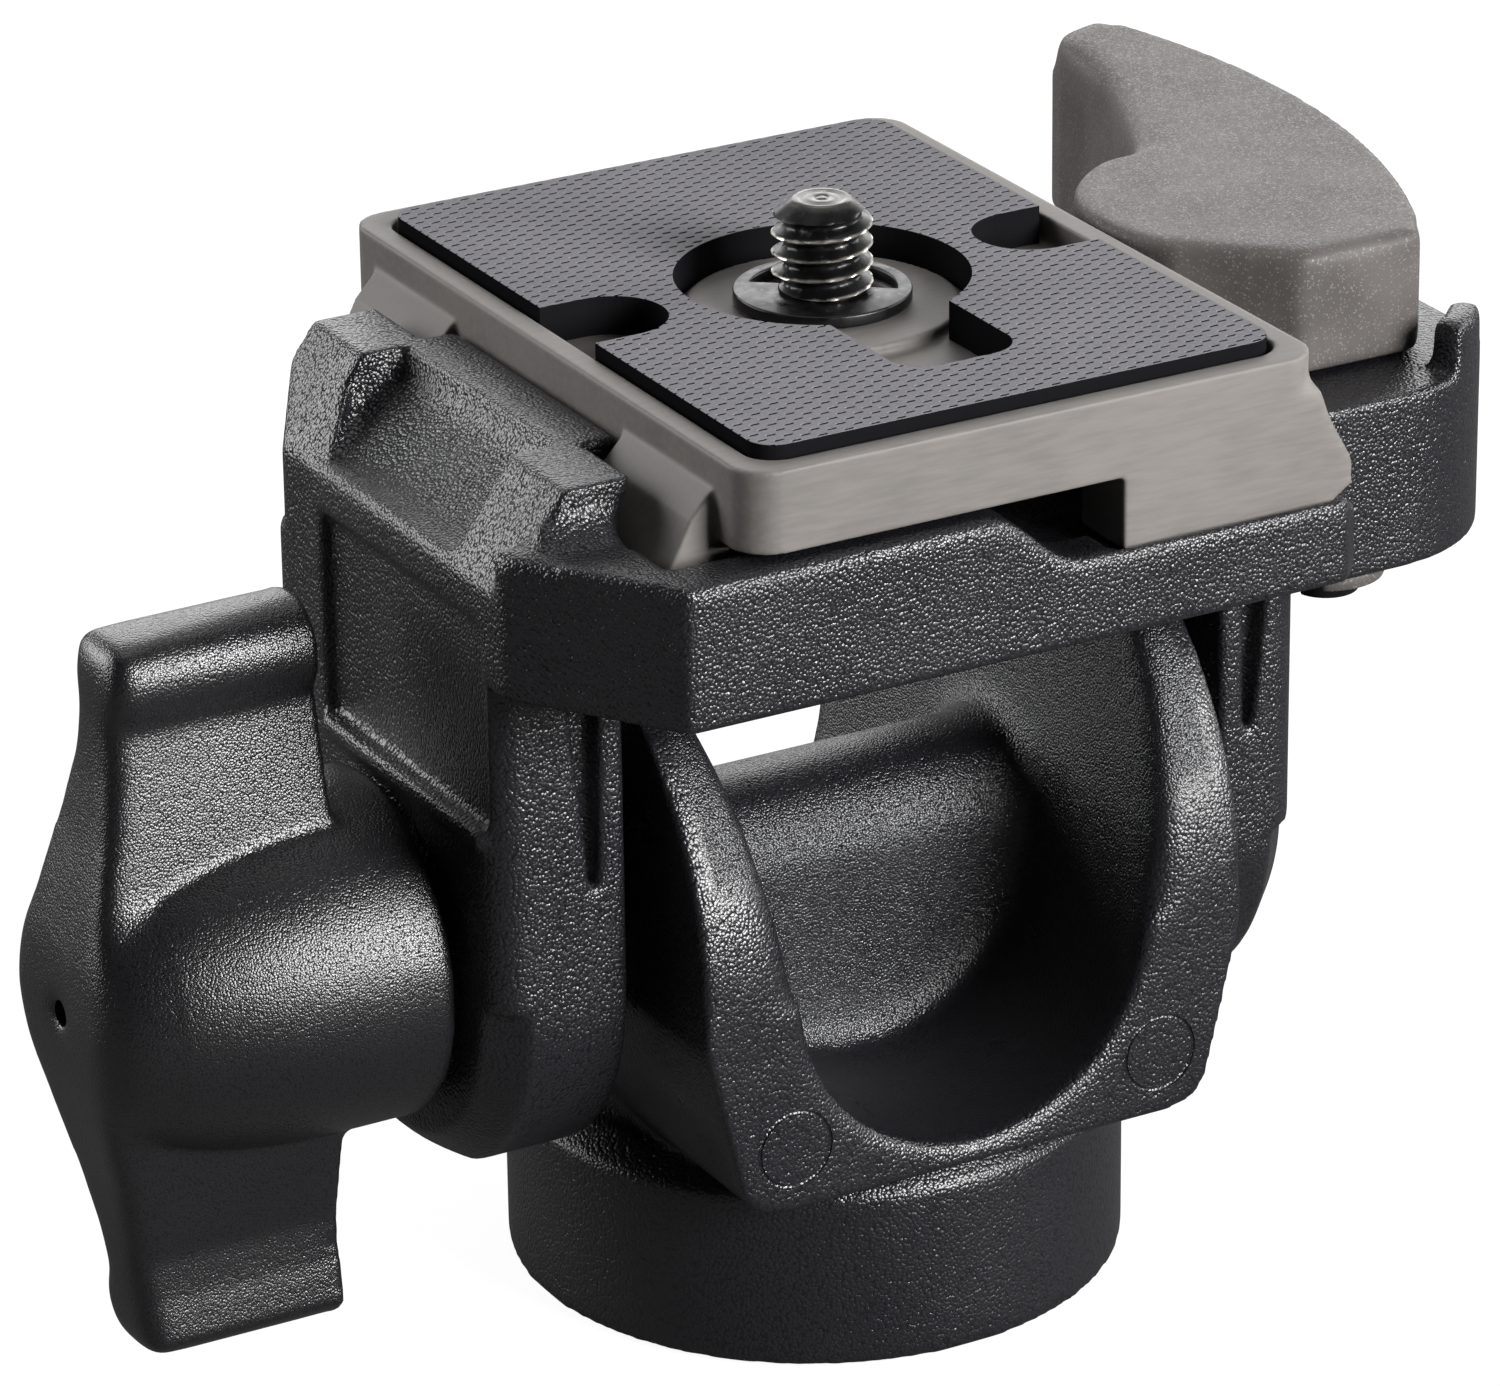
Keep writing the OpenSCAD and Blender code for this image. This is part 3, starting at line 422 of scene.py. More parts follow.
def satin_material(name, metal, streak, rough=(0.5, 0.62)):
    """Satin metal with fine machining lines across one direction."""
    mat, tree, shader, spot = new_material(name)
    lines = add(tree, "Mapping", Vector=spot, Scale=streak).outputs[0]
    mill = add(tree, "TexNoise", Vector=lines, Scale=1.0, Detail=3.0, Roughness=0.6).outputs["Fac"]
    cloud = noise(tree, spot, 5 * MM, 3.0)
    fleck = noise(tree, spot, 0.12 * MM, 2.0)
    mixed = maths(tree, "MULTIPLY_ADD", cloud, 0.5, maths(tree, "MULTIPLY", mill, 0.5))
    link(tree, tinted(tree, ramp(tree, mixed, 0.35, 0.65), shade(metal, 0.86), shade(metal, 1.1)),
         shader, "Base Color")
    link(tree, ramp(tree, mixed, 0.3, 0.7, *rough), shader, "Roughness")
    height = maths(tree, "MULTIPLY_ADD", fleck, 0.5, mill)
    bump(tree, shader, height, strength=0.35, distance=0.02 * MM)
    shader.inputs["Metallic"].default_value = 0.1
    shader.inputs["Specular IOR Level"].default_value = 0.3
    return mat


def sparkle_material(name, paint):
    """Bronze-grey paint with bright flakes."""
    mat, tree, shader, spot = new_material(name)
    flakes = add(tree, "TexVoronoi", Vector=spot, Scale=1 / (0.1 * MM))
    lit = add(tree, "SeparateColor", Color=flakes.outputs["Color"]).outputs[0]
    spark = ramp(tree, lit, 0.86, 0.97)
    cloud = noise(tree, spot, 3 * MM, 3.0)
    base = ramp(tree, cloud, 0.3, 0.7, 0.0, 0.35)
    glint = maths(tree, "MAXIMUM", base, spark)
    link(tree, tinted(tree, glint, shade(paint, 0.85), shade(paint, 1.9)), shader, "Base Color")
    link(tree, ramp(tree, lit, 0.2, 0.95, 0.62, 0.4), shader, "Roughness")
    orange = noise(tree, spot, 0.35 * MM, 2.0)
    height = maths(tree, "MULTIPLY_ADD", lit, 0.5, orange)
    bump(tree, shader, height, strength=0.4, distance=0.035 * MM)
    shader.inputs["Specular IOR Level"].default_value = 0.25
    return mat


def rubber_material(name, rubber, dash, top):
    """Rubber, grey on its top with painted sheen, and dark in its dashes as painted shade and down
    its sides.
    """
    mat, tree, shader, spot = new_material(name)
    height = add(tree, "SeparateXYZ", Vector=spot).outputs[2]
    speck = noise(tree, spot, 0.12 * MM, 3.0, 0.7)
    cloud = noise(tree, spot, 6 * MM, 3.0)
    worn = maths(tree, "MULTIPLY_ADD", speck, 0.75, maths(tree, "MULTIPLY", cloud, 0.35))
    # Painted sheen: the top's grey is partly lightened to stand in for grazing reflection, as the
    # shader has no specular.
    grey = tinted(tree, ramp(tree, worn, 0.35, 0.75), shade(rubber, 0.88), shade(rubber, 1.18))
    # Painted shade in the dashes: below the top the colour turns to the dark dash colour, down the
    # pad's sides as well.
    low = ramp(tree, height, top - 0.012 * MM, top - 0.03 * MM)
    dark = add(tree, "Mix", {"data_type": "RGBA"}, i0=low, i6=grey)
    dark.inputs[7].default_value = (*dash, 1)
    link(tree, dark.outputs[2], shader, "Base Color")
    link(tree, ramp(tree, speck, 0.3, 0.7, 0.62, 0.85), shader, "Roughness")
    bump(tree, shader, speck, strength=0.6, distance=0.03 * MM)
    shader.inputs["Specular IOR Level"].default_value = 0.0
    return mat


def oxide_material(name, oxide, bright, centre=None, crest=None, tip=None):
    """Black oxide on steel, worn bright at the tip and beyond a radius where these are given."""
    mat, tree, shader, spot = new_material(name)
    wear = noise(tree, spot, 0.5 * MM, 4.0, 0.6)
    worn = ramp(tree, wear, 0.6, 0.78, 0.0, 0.35)
    if crest:
        x, y, z = add(tree, "SeparateXYZ", Vector=spot).outputs
        dx = maths(tree, "SUBTRACT", x, centre)
        square = maths(tree, "ADD", maths(tree, "MULTIPLY", dx, dx), maths(tree, "MULTIPLY", y, y))
        radius = maths(tree, "SQRT", square)
        uneven = maths(tree, "MULTIPLY_ADD", wear, 0.35 * MM, radius)
        edge = ramp(tree, uneven, crest, crest + 0.2 * MM)
        end = ramp(tree, z, tip - 0.4 * MM, tip - 0.05 * MM, 0.0, 0.16)
        worn = maths(tree, "MAXIMUM", worn, maths(tree, "MAXIMUM", edge, end))
    link(tree, tinted(tree, worn, oxide, bright), shader, "Base Color")
    link(tree, ramp(tree, wear, 0.3, 0.7, 0.26, 0.44), shader, "Roughness")
    fine = noise(tree, spot, 0.08 * MM, 2.0)
    bump(tree, shader, fine, strength=0.25, distance=0.015 * MM)
    shader.inputs["Metallic"].default_value = 0.9
    return mat


def turned_material(name, metal, rough=(0.2, 0.38)):
    """Turned or plated metal with faint tool marks and stains."""
    mat, tree, shader, spot = new_material(name)
    stain = noise(tree, spot, 1.5 * MM, 4.0, 0.6)
    mark = noise(tree, spot, 0.09 * MM, 2.0)
    link(tree, tinted(tree, ramp(tree, stain, 0.3, 0.7), shade(metal, 0.75), shade(metal, 1.1)),
         shader, "Base Color")
    link(tree, ramp(tree, stain, 0.3, 0.7, *rough), shader, "Roughness")
    bump(tree, shader, mark, strength=0.3, distance=0.012 * MM)
    shader.inputs["Metallic"].default_value = 1.0
    return mat


def matte_material(name, plain, grain, rough=(0.45, 0.65)):
    """Matte moulded or pressed material with a fine grain."""
    mat, tree, shader, spot = new_material(name)
    speck = noise(tree, spot, grain, 3.0, 0.6)
    link(tree, tinted(tree, ramp(tree, speck, 0.3, 0.7), shade(plain, 0.8), shade(plain, 1.15)),
         shader, "Base Color")
    link(tree, ramp(tree, speck, 0.3, 0.7, *rough), shader, "Roughness")
    bump(tree, shader, speck, strength=0.4, distance=0.1 * grain)
    return mat


def finish(name, maker, *values, **options):
    """A material by name, made the first time that it is asked for."""
    return bpy.data.materials.get(name) or maker(name, *values, **options)


# Shapes


def between(values, low, high):
    """Which of the values lie between two limits."""
    return (values > low) & (values < high)


def u_inset(rows):
    """How far points lie inside the U opening's wall, in millimetres, below zero in the metal."""
    x, z = np.abs(rows[:, 0]), rows[:, 2] - U_CENTRE_Z
    low = U_RADIUS - np.hypot(x, z)
    high = (U_RADIUS / math.cos(U_FLARE) + z * math.tan(U_FLARE) - x) * math.cos(U_FLARE)
    return np.where(z < -U_RADIUS * math.sin(U_FLARE), low, high)


def opening_places(obj):
    """The saddle's points as their inset in the U opening, distance from the middle and height."""
    rows = places(obj)
    return u_inset(rows), np.abs(rows[:, 1]), rows[:, 2]


def in_opening(tree, spot):
    """A shader value of one in the U opening, which fades to zero at the saddle's outer faces."""
    fade_x, fade_y, fade_z = (18.4, 17.4), (20.4, 19.0), (13.2, 14.2)
    x, y, z = add(tree, "SeparateXYZ", Vector=spot).outputs
    inside_y = ramp(tree, maths(tree, "ABSOLUTE", y), *(c * MM for c in fade_y))
    inside_x = ramp(tree, maths(tree, "ABSOLUTE", x), *(c * MM for c in fade_x))
    inside_z = ramp(tree, z, *(c * MM for c in fade_z))
    return maths(tree, "MULTIPLY", maths(tree, "MULTIPLY", inside_y, inside_x), inside_z)


def thread_depth(rows, centre_x, pitch):
    """Share of the thread's depth at each point, zero on the crest and one in the root."""
    crest, flank = 0.06, 0.72
    turn = np.arctan2(rows[:, 1], rows[:, 0] - centre_x) / (2 * math.pi)
    phase = (rows[:, 2] / pitch - turn) % 1.0
    from_crest = np.abs(phase - 0.5) * 2
    return np.clip((from_crest - crest) / flank, 0, 1)


def swept_tips(rows):
    """Points of the knob with one face of each wing swept out to a square tip, in millimetres."""
    web_front, web_back = -46, -38
    wing_start, sweep_start, tip_start, tip_length = 12, 16, 22.5, 1.8
    root_half, growth, most_stretch = 2.9, 0.016, 1.6
    x, y, z = rows.T
    out = np.abs(z - AXIS_Z)
    web = between(x, web_front, web_back)
    levels = np.arange(11.0, 24.6, 0.3)
    half = [np.abs(y[web & (np.abs(out - level) < 0.2)]).max(initial=0.6) for level in levels]
    half = np.interp(out, levels, half)
    sweep = root_half + growth * (np.clip(out, sweep_start, tip_start) - sweep_start) ** 2
    end = np.clip((out - tip_start) / tip_length, 0, 1)
    sweep = sweep * np.sqrt(np.clip(1 - end ** 2, 0.01, 1))
    chosen = (out > wing_start) & (y * (z - AXIS_Z) > 0)
    factor = np.where(chosen, np.clip(sweep / half, 1.0, most_stretch), 1.0)
    return np.column_stack((x, y * factor, z))


def post_tool(middle, radius, half_length, axis="Z"):
    """A round post about a middle point in millimetres, for cutting holes."""
    deselect()
    turn = (0, math.pi / 2, 0) if axis == "X" else (0, 0, 0)
    bpy.ops.mesh.primitive_cylinder_add(
        vertices=64, radius=radius * MM, depth=2 * half_length * MM,
        location=Vector(middle) * MM, rotation=turn)
    tool = new_piece("post_tool")
    apply_place(tool)
    return tool


def filler(outline, low, high, axis="Y"):
    """A block between two places on an axis, with an outline in millimetres, to fill a corner."""
    deselect()
    bpy.ops.mesh.primitive_plane_add(size=MM, location=(0, 0, 0))
    tool = new_piece("filler")
    edit_all(tool)
    bpy.ops.mesh.merge(type="CENTER")
    x, y, z = Vector((1, 0, 0)), Vector((0, 1, 0)), Vector((0, 0, 1))
    along, across, up = {"X": (x, y, z), "Y": (y, x, z), "Z": (z, x, y)}[axis]
    draw_points([(low * along + a * across + b * up) * MM for a, b in outline])
    bpy.ops.mesh.select_all(action="SELECT")
    bpy.ops.mesh.edge_face_add()
    bpy.ops.mesh.extrude_region_move(
        TRANSFORM_OT_translate={"value": (high - low) * MM * along})
    bpy.ops.mesh.select_all(action="SELECT")
    bpy.ops.mesh.normals_make_consistent(inside=False)
    leave_edit()
    return tool


def ring_tool(x, y, z, radius, line=0.16):
    """A thin ring that faces the front, for engraving a circle."""
    deselect()
    bpy.ops.mesh.primitive_torus_add(
        location=(x * MM, y * MM, z * MM), rotation=(math.pi / 2, 0, 0),
        major_radius=radius * MM, minor_radius=line * MM, major_segments=64, minor_segments=8)
    tool = new_piece("ring_tool")
    apply_place(tool)
    return tool


# Pieces


class HEAD_OT_saddle(bpy.types.Operator):
    """Cast foot with the saddle, its U opening and the barrel"""

    bl_idname = "head.saddle"
    bl_label = "Foot and saddle"

    def execute(self, context):
        sizes, colours = context.scene.head_sizes, context.scene.head_colours
        obj = copy_of_node("base_casting", "saddle_foot")
        even_skin(obj, voxel=0.3)
        soften(obj, 4)
        # The web and the barrel run softly into the wall of the U.
        web_side, pocket_floor = 9.2, 13
        inset, y, z = opening_places(obj)
        soften(obj, 90, between(inset, -0.5, 3.4) & (y < web_side) & (z > pocket_floor))
        # The opening's rounded mouths, at the front and the back.
        mouth_side, mouth_floor = 18.6, 14
        inset, y, z = opening_places(obj)
        soften(obj, 30, between(inset, -2.4, 0.6) & (y > mouth_side) & (z > mouth_floor))
        # The arms' rounded rims, outside the round faces about the tilt axis.
        face_radius, arm_floor = 17, 27
        inset, y, z = opening_places(obj)
        arm = np.hypot(y, z - AXIS_Z) > face_radius
        soften(obj, 70, between(inset, -3.6, 1.2) & arm & (z > arm_floor))
        soften(obj, 3)
        thin_out(obj)
        mark_x, mark_y, mark_z, mark_radius = 13.2, 21.0, 17.7, 2.5
        for side_x in (-1, 1):
            for side_y in (-1, 1):
                ring = ring_tool(side_x * mark_x, side_y * mark_y, mark_z, mark_radius)
                cut_with(obj, ring, "DIFFERENCE")
        smooth_shaded(obj, angle=42)
        mat = finish("saddle_coat", coat_material, colours.casting, sizes.coat_grain,
                     fine=sizes.fine_grain, fine_where=in_opening)
        place(obj, "base", "black_casting", mat, "base_casting")
        return {"FINISHED"}


class HEAD_OT_platform(bpy.types.Operator):
    """Cast platform with its ears, rail, fixed jaw and lever boss"""

    bl_idname = "head.platform"
    bl_label = "Platform"

    def execute(self, context):
        sizes, colours = context.scene.head_sizes, context.scene.head_colours
        obj = copy_of_node("platform_casting", "platform_body")
        # Fillets in the fixed jaw's scoop and at the rail's end.
        gutter = ((-23.6, 60.6), (-25.6, 57.8), (-28.7, 57.1))
        cut_with(obj, filler(gutter, -9.75, 9.75), "UNION")
        slope_x, slope_z = -30.4, 56.3
        cheek = ((-30.2, 56.4), (-26.5, 61.6), (-25.0, 61.6), (-25.0, 56.4))
        wedge = filler(cheek, 5.9, 10.5)
        edit_all(wedge)
        bpy.ops.mesh.bisect(plane_co=(slope_x * MM, 6.2 * MM, 0), plane_no=(3.5, -3.9, 0),
                            use_fill=True, clear_outer=True)
        leave_edit()
        cut_with(obj, wedge, "UNION")
        rail_end = ((-16.6, 61.0), (-16.6, 59.0), (-18.9, 59.0))
        cut_with(obj, filler(rail_end, -28.2, -22.9, "X"), "UNION")
        even_skin(obj, voxel=0.28)
        soften(obj, 5)
        x, y, z = places(obj).T
        under_slope = 0.587 * (z - slope_z) - 0.81 * (x - slope_x)
        scoop = (under_slope < -0.7) & (np.abs(y) < 9.9) & (x < -22) & between(z, 56, 62.0)
        soften(obj, 40, scoop)
        rail_corner = between(y, -20, -16.2) & between(z, 58.4, 61.4) & (x < -21.5)
        soften(obj, 16, rail_corner)
        rail_front = (y < -25.4) & between(z, 54.5, 61)
        soften(obj, 10, rail_front)
        horn = (x > 34) & (y < -6) & (z > 57.6)
        soften(obj, 24, horn)
        thin_out(obj)
        smooth_shaded(obj)
        mat = finish("platform_coat", coat_material, colours.casting, sizes.coat_grain, lift=0.3)
        place(obj, "platform", "black_casting", mat, "platform_casting")
        return {"FINISHED"}


class HEAD_OT_knob(bpy.types.Operator):
    """Moulded wing knob"""

    bl_idname = "head.knob"
    bl_label = "Wing knob"

    def execute(self, context):
        sizes, colours = context.scene.head_sizes, context.scene.head_colours
        obj = copy_of_node("knob_wing", "wing_knob")
        even_skin(obj, voxel=0.28)
        soften(obj, 8)
        x, _, z = places(obj).T
        back_x, dome_x = -36.4, -48.4
        along_wing = np.abs(z - AXIS_Z)
        soften(obj, 14, (x < back_x) & (along_wing > 15))
        soften(obj, 50, x < dome_x)
        set_places(obj, swept_tips(places(obj)))
        soften(obj, 12, (x < back_x) & (along_wing > 11))
        thin_out(obj)
        hole_radius, hole_depth = 0.85, 2.0
        hole = post_tool((x.min(), 0, AXIS_Z), hole_radius, hole_depth, "X")
        cut_with(obj, hole, "DIFFERENCE")
        smooth_shaded(obj, angle=50)
        mat = finish("knob_grain", coat_material, colours.knob, sizes.fine_grain, lift=0.2,
                     rough=(0.26, 0.32))
        place(obj, "knob", "black_plastic", mat, "knob_wing")
        return {"FINISHED"}


class HEAD_OT_plate(bpy.types.Operator):
    """Satin camera plate"""

    bl_idname = "head.plate"
    bl_label = "Camera plate"

    def execute(self, context):
        colours = context.scene.head_colours
        obj = copy_of_node("plate_casting", "camera_plate")
        ring_low = Vector(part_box("screw_retainer")[0]) / MM
        bore_radius, bore_depth = 4.75, 2.0
        counterbore = post_tool((SCREW_X, 0, ring_low.z), bore_radius, bore_depth)
        cut_with(obj, counterbore, "DIFFERENCE")
        even_skin(obj, voxel=0.17)
        soften(obj, 2)
        x, y, z = places(obj).T
        right_corners = (x > 18.2) & (np.abs(y) > 22.5) & between(z, 56.2, 63.5)
        soften(obj, 45, right_corners)
        thin_out(obj)
        smooth_shaded(obj)
        streaks = (300, 2600, 2600)
        mat = finish("plate_satin", satin_material, colours.plate, streaks)
        place(obj, "platform", "bronze_plate", mat, "plate_casting")
        return {"FINISHED"}


class HEAD_OT_pad(bpy.types.Operator):
    """Rubber pad with its rows of pressed dashes"""

    bl_idname = "head.pad"
    bl_label = "Rubber pad"

    def execute(self, context):
        sizes, colours = context.scene.head_sizes, context.scene.head_colours
        low, high = (Vector(c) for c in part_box("rubber_pad"))
        # A grid of points, with so many columns to a dash's pitch and so many lines to a row.
        columns, dash_columns, lines, margin = 10, 3, 4, 2
        step_x, step_y = sizes.dash_pitch / columns, sizes.dash_row / lines
        count_x = math.ceil((high.x - low.x) / step_x) + 2 * margin
        count_y = math.ceil((high.y - low.y) / step_y) + 2 * margin
        corner = (low.x - margin * step_x, low.y - margin * step_y)
        deselect()
        bpy.ops.mesh.primitive_grid_add(x_subdivisions=count_x, y_subdivisions=count_y, size=1)
        obj = new_piece("rubber_pad_top")
        obj.scale = (count_x * step_x, count_y * step_y, 1)
        skim, overlap = 0.01 * MM, 1 * MM
        top = high.z - skim
        obj.location = (corner[0] + count_x * step_x / 2, corner[1] + count_y * step_y / 2, top)
        apply_place(obj)
        rows = places(obj)
        column = np.rint((rows[:, 0] - corner[0] / MM) / (step_x / MM)).astype(int)
        line = np.rint((rows[:, 1] - corner[1] / MM) / (step_y / MM)).astype(int)
        stagger = columns // 2 * ((line // lines) % 2)
        pressed = (line % lines == 0) & ((column + stagger) % columns < dash_columns)
        edit_points(obj, pressed)
        bpy.ops.transform.translate(value=(0, 0, -sizes.dash_depth))
        bpy.ops.mesh.select_all(action="SELECT")
        drop = high.z - low.z + overlap
        bpy.ops.mesh.extrude_region_move(TRANSFORM_OT_translate={"value": (0, 0, -drop)})
        bpy.ops.mesh.select_all(action="SELECT")
        bpy.ops.mesh.normals_make_consistent(inside=False)
        leave_edit()
        outline = copy_of_node("rubber_pad", "pad_outline")
        cut_with(obj, outline, "INTERSECT")
        smooth_shaded(obj, angle=30)
        mat = finish("dashed_rubber", rubber_material, colours.rubber, colours.dash, top)
        place(obj, "platform", "pad_rubber", mat, "rubber_pad")
        return {"FINISHED"}


class HEAD_OT_camera_screw(bpy.types.Operator):
    """Camera screw with its thread, and the ring that keeps it in the plate"""

    bl_idname = "head.camera_screw"
    bl_label = "Camera screw"

    def execute(self, context):
        sizes, colours = context.scene.head_sizes, context.scene.head_colours
        low, high = (np.array(c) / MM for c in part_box("camera_screw"))
        ring_low, ring_high = (np.array(c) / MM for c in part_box("screw_retainer"))
        # The standard 1/4 inch screw, thinner where its ring sits.
        radius, neck_depth, thread_height, worn_radius = 3.175, 0.5, 0.78, 3.16
        head_r, head_height, chamfer, edge = (high[0] - low[0]) / 2, 2.4, 0.4, 0.3
        head_top = low[2] + head_height
        pitch = sizes.screw_pitch / MM
        start = ring_high[2] + 0.05
        count = 60
        neck = radius - neck_depth
        shank = [(radius, head_top), (radius, ring_low[2]), (neck, ring_low[2]),
                 (neck, ring_high[2]), (neck, start)]
        thread = [(radius, start + (high[2] - start) * i / count) for i in range(1, count + 1)]
        rings = ((1.5, 0), (1.25, 0.1), (1.0, 0), (0.55, 0), (0.4, 0.07), (0.25, 0))
        tip = [(r, high[2] - groove) for r, groove in rings]
        outline = [(0, low[2]), (head_r - chamfer, low[2]), (head_r, low[2] + chamfer),
                   (head_r, head_top - edge), (head_r - edge, head_top),
                   *shank, *thread, *tip, (0, high[2])]
        obj = turned("camera_screw_thread", outline, steps=96, centre=(SCREW_X, 0))
        rows = places(obj)
        z = rows[:, 2]
        out = np.hypot(rows[:, 0] - SCREW_X, rows[:, 1])
        depth = thread_height * thread_depth(rows, SCREW_X, pitch)
        # The end is a cone that runs out into the thread.
        end_radius, cone, inside = 1.75, 1.3, 2.3
        reach = np.minimum(radius - depth, end_radius + cone * np.clip(high[2] - z, 0, None))
        cut = (z > start + 0.02) & (out > inside)
        factor = np.where(cut, reach / np.maximum(out, 1e-6), 1.0)
        rows[:, 0] = SCREW_X + (rows[:, 0] - SCREW_X) * factor
        rows[:, 1] *= factor
        set_places(obj, rows)
        deselect()
        bpy.ops.mesh.primitive_cube_add(size=1, location=(SCREW_X * MM, 0, low[2] * MM))
        slot = new_piece("slot_tool")
        slot_width, slot_depth = 1.8, 1.2
        slot.scale = (3 * head_r * MM, slot_width * MM, 2 * slot_depth * MM)
        apply_place(slot)
        cut_with(obj, slot, "DIFFERENCE")
        smooth_shaded(obj, angle=50)
        mat = finish("screw_oxide", oxide_material, colours.oxide, colours.bright,
                     centre=SCREW_X * MM, crest=worn_radius * MM, tip=high[2] * MM)
        place(obj, "screw", "black_steel", mat, "camera_screw")

        ring = copy_of_node("screw_retainer", "retaining_ring")
        window_radius, window_edge, window_turn = 4.65, 0.3, -38.5
        window = post_tool((SCREW_X, 0, ring_high[2]), window_radius, half_length=3.0)
        edit_all(window)
        bpy.ops.mesh.bisect(plane_co=(SCREW_X * MM, window_edge * MM, 0), plane_no=(0, 1, 0),
                            use_fill=True, clear_inner=True)
        leave_edit()
        cut_with(ring, window, "DIFFERENCE")
        turn = Matrix.Rotation(math.radians(window_turn), 3, "Z")
        middle = Vector((SCREW_X * MM, 0, 0))
        ring.rotation_euler = turn.to_euler()
        ring.location = middle - turn @ middle
        apply_place(ring)
        bevelled(ring, width=0.14, segments=3)
        mat = finish("ring_oxide", oxide_material, colours.oxide, colours.bright)
        place(ring, "screw", "black_steel", mat, "screw_retainer")
        return {"FINISHED"}


class HEAD_OT_lever(bpy.types.Operator):
    """Painted cam lever with its finger tab"""

    bl_idname = "head.lever"
    bl_label = "Lock lever"

    def execute(self, context):
        colours = context.scene.head_colours
        obj = copy_of_node("lock_lever", "cam_lever")
        high = Vector(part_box("lock_lever")[1]) / MM
        # A short wall closes the corner beside the cam.
        wall = ((PIVOT_X - 3.7, -11.9), (PIVOT_X - 9.2, -6.1), (PIVOT_X - 2, -7))
        wall_depth, wall_step = 8.2, 0.02
        cut_with(obj, filler(wall, high.z - wall_depth, high.z - wall_step, "Z"), "UNION")
        even_skin(obj, voxel=0.22)
        soften(obj, 5)
        x, y, z = places(obj).T
        top = z.max()
        outer_r, outer_y, rim = 63.0, 17.7, 2.2
        from_outer = outer_r - np.hypot(x - (x.max() - outer_r), y - outer_y)
        soften(obj, 26, (z > top - 2.6) & (from_outer > rim))
        # The lip rolls over along the inner edge, and at the tab's end and the cam's end.
        along = (8.0, 9.0, 15.0, 20.0, 24.0, 28.0, 32.2, 36.0)
        across = (-4.0, -3.0, 0.2, 2.4, 4.0, 5.0, 5.6, 6.9)
        inner = PIVOT_X + np.interp(y, along, across)
        lip = (y > 10) & (x < inner + 3.4) & (z > top - 3.2)
        soften(obj, 120, lip)
        tab_end = (y > y.max() - 2.4) & (z > top - 2.8)
        soften(obj, 50, tab_end)
        cam_end = y < -9.4
        soften(obj, 30, cam_end)
        soften(obj, 3)
        thin_out(obj)
        smooth_shaded(obj)
        mat = finish("lever_paint", sparkle_material, colours.lever)
        place(obj, "lever", "bronze_paint", mat, "lock_lever")
        return {"FINISHED"}


class HEAD_OT_thread_insert(bpy.types.Operator):
    """Brass insert in the foot, with its inner thread"""

    bl_idname = "head.thread_insert"
    bl_label = "Thread insert"

    def execute(self, context):
        sizes, colours = context.scene.head_sizes, context.scene.head_colours
        low, high = (np.array(c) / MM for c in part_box("thread_insert"))
        outer, inner = (high[0] - low[0]) / 2, 4.0
        pitch = sizes.foot_pitch / MM
        height = high[2] - low[2]
        count = 66
        rim, chamfer, mouth = 0.1, 0.3, 1.1
        wall = [(inner, low[2] + rim + (height - 2 * rim) * i / count) for i in range(count + 1)]
        outline = [*wall, (inner + rim, high[2]), (outer - chamfer, high[2]),
                   (outer, high[2] - chamfer), (outer, low[2] + chamfer),
                   (outer - chamfer, low[2]), (inner + mouth, low[2]), wall[0]]
        obj = turned("foot_thread_insert", outline, steps=72)
        rows = places(obj)
        out = np.hypot(rows[:, 0], rows[:, 1])
        z = rows[:, 2] - low[2]
        thread_height, lead_in, run_out = 0.75, 0.9, 0.8
        depth = thread_height * (1 - thread_depth(rows, 0.0, pitch))
        depth = depth * np.clip((height - z) / run_out, 0, 1)
        lead = np.clip(1.0 - z / lead_in, 0, 1)
        reach = inner + np.maximum(depth, lead_in * lead)
        factor = np.where(out < inner + 0.05, reach / np.maximum(out, 1e-6), 1.0)
        rows[:, 0] *= factor
        rows[:, 1] *= factor
        set_places(obj, rows)
        smooth_shaded(obj, angle=50)
        mat = finish("brass_turned", turned_material, colours.brass)
        place(obj, "base", "brass", mat, "thread_insert")
        return {"FINISHED"}


class HEAD_OT_axle(bpy.types.Operator):
    """Tilt bolt with its washers and bushes"""

    bl_idname = "head.axle"
    bl_label = "Tilt axle"

    def execute(self, context):
        colours = context.scene.head_colours
        steel = finish("zinc_steel", turned_material, colours.steel)
        acetal = finish("bush_acetal", matte_material, colours.acetal, 0.3 * MM)
        fibre = finish("friction_fibre", matte_material, colours.fibre, 0.25 * MM,
                       rough=(0.7, 0.9))
        place_hardware((
            ("tilt_bolt", "platform", "steel", steel, 0.3),
            ("head_washer", "platform", "steel", steel, 0.12),
            ("knob_washer", "platform", "steel", steel, 0.12),
            ("pivot_bush_left", "base", "acetal", acetal, 0.12),
            ("pivot_bush_right", "base", "acetal", acetal, 0.12),
            ("friction_washer_left", "platform", "fibre", fibre, 0.12),
            ("friction_washer_right", "platform", "fibre", fibre, 0.12)))
        brass = finish("brass_turned", turned_material, colours.brass)
        NODES["knob_insert"].material_slots[0].material = brass
        return {"FINISHED"}


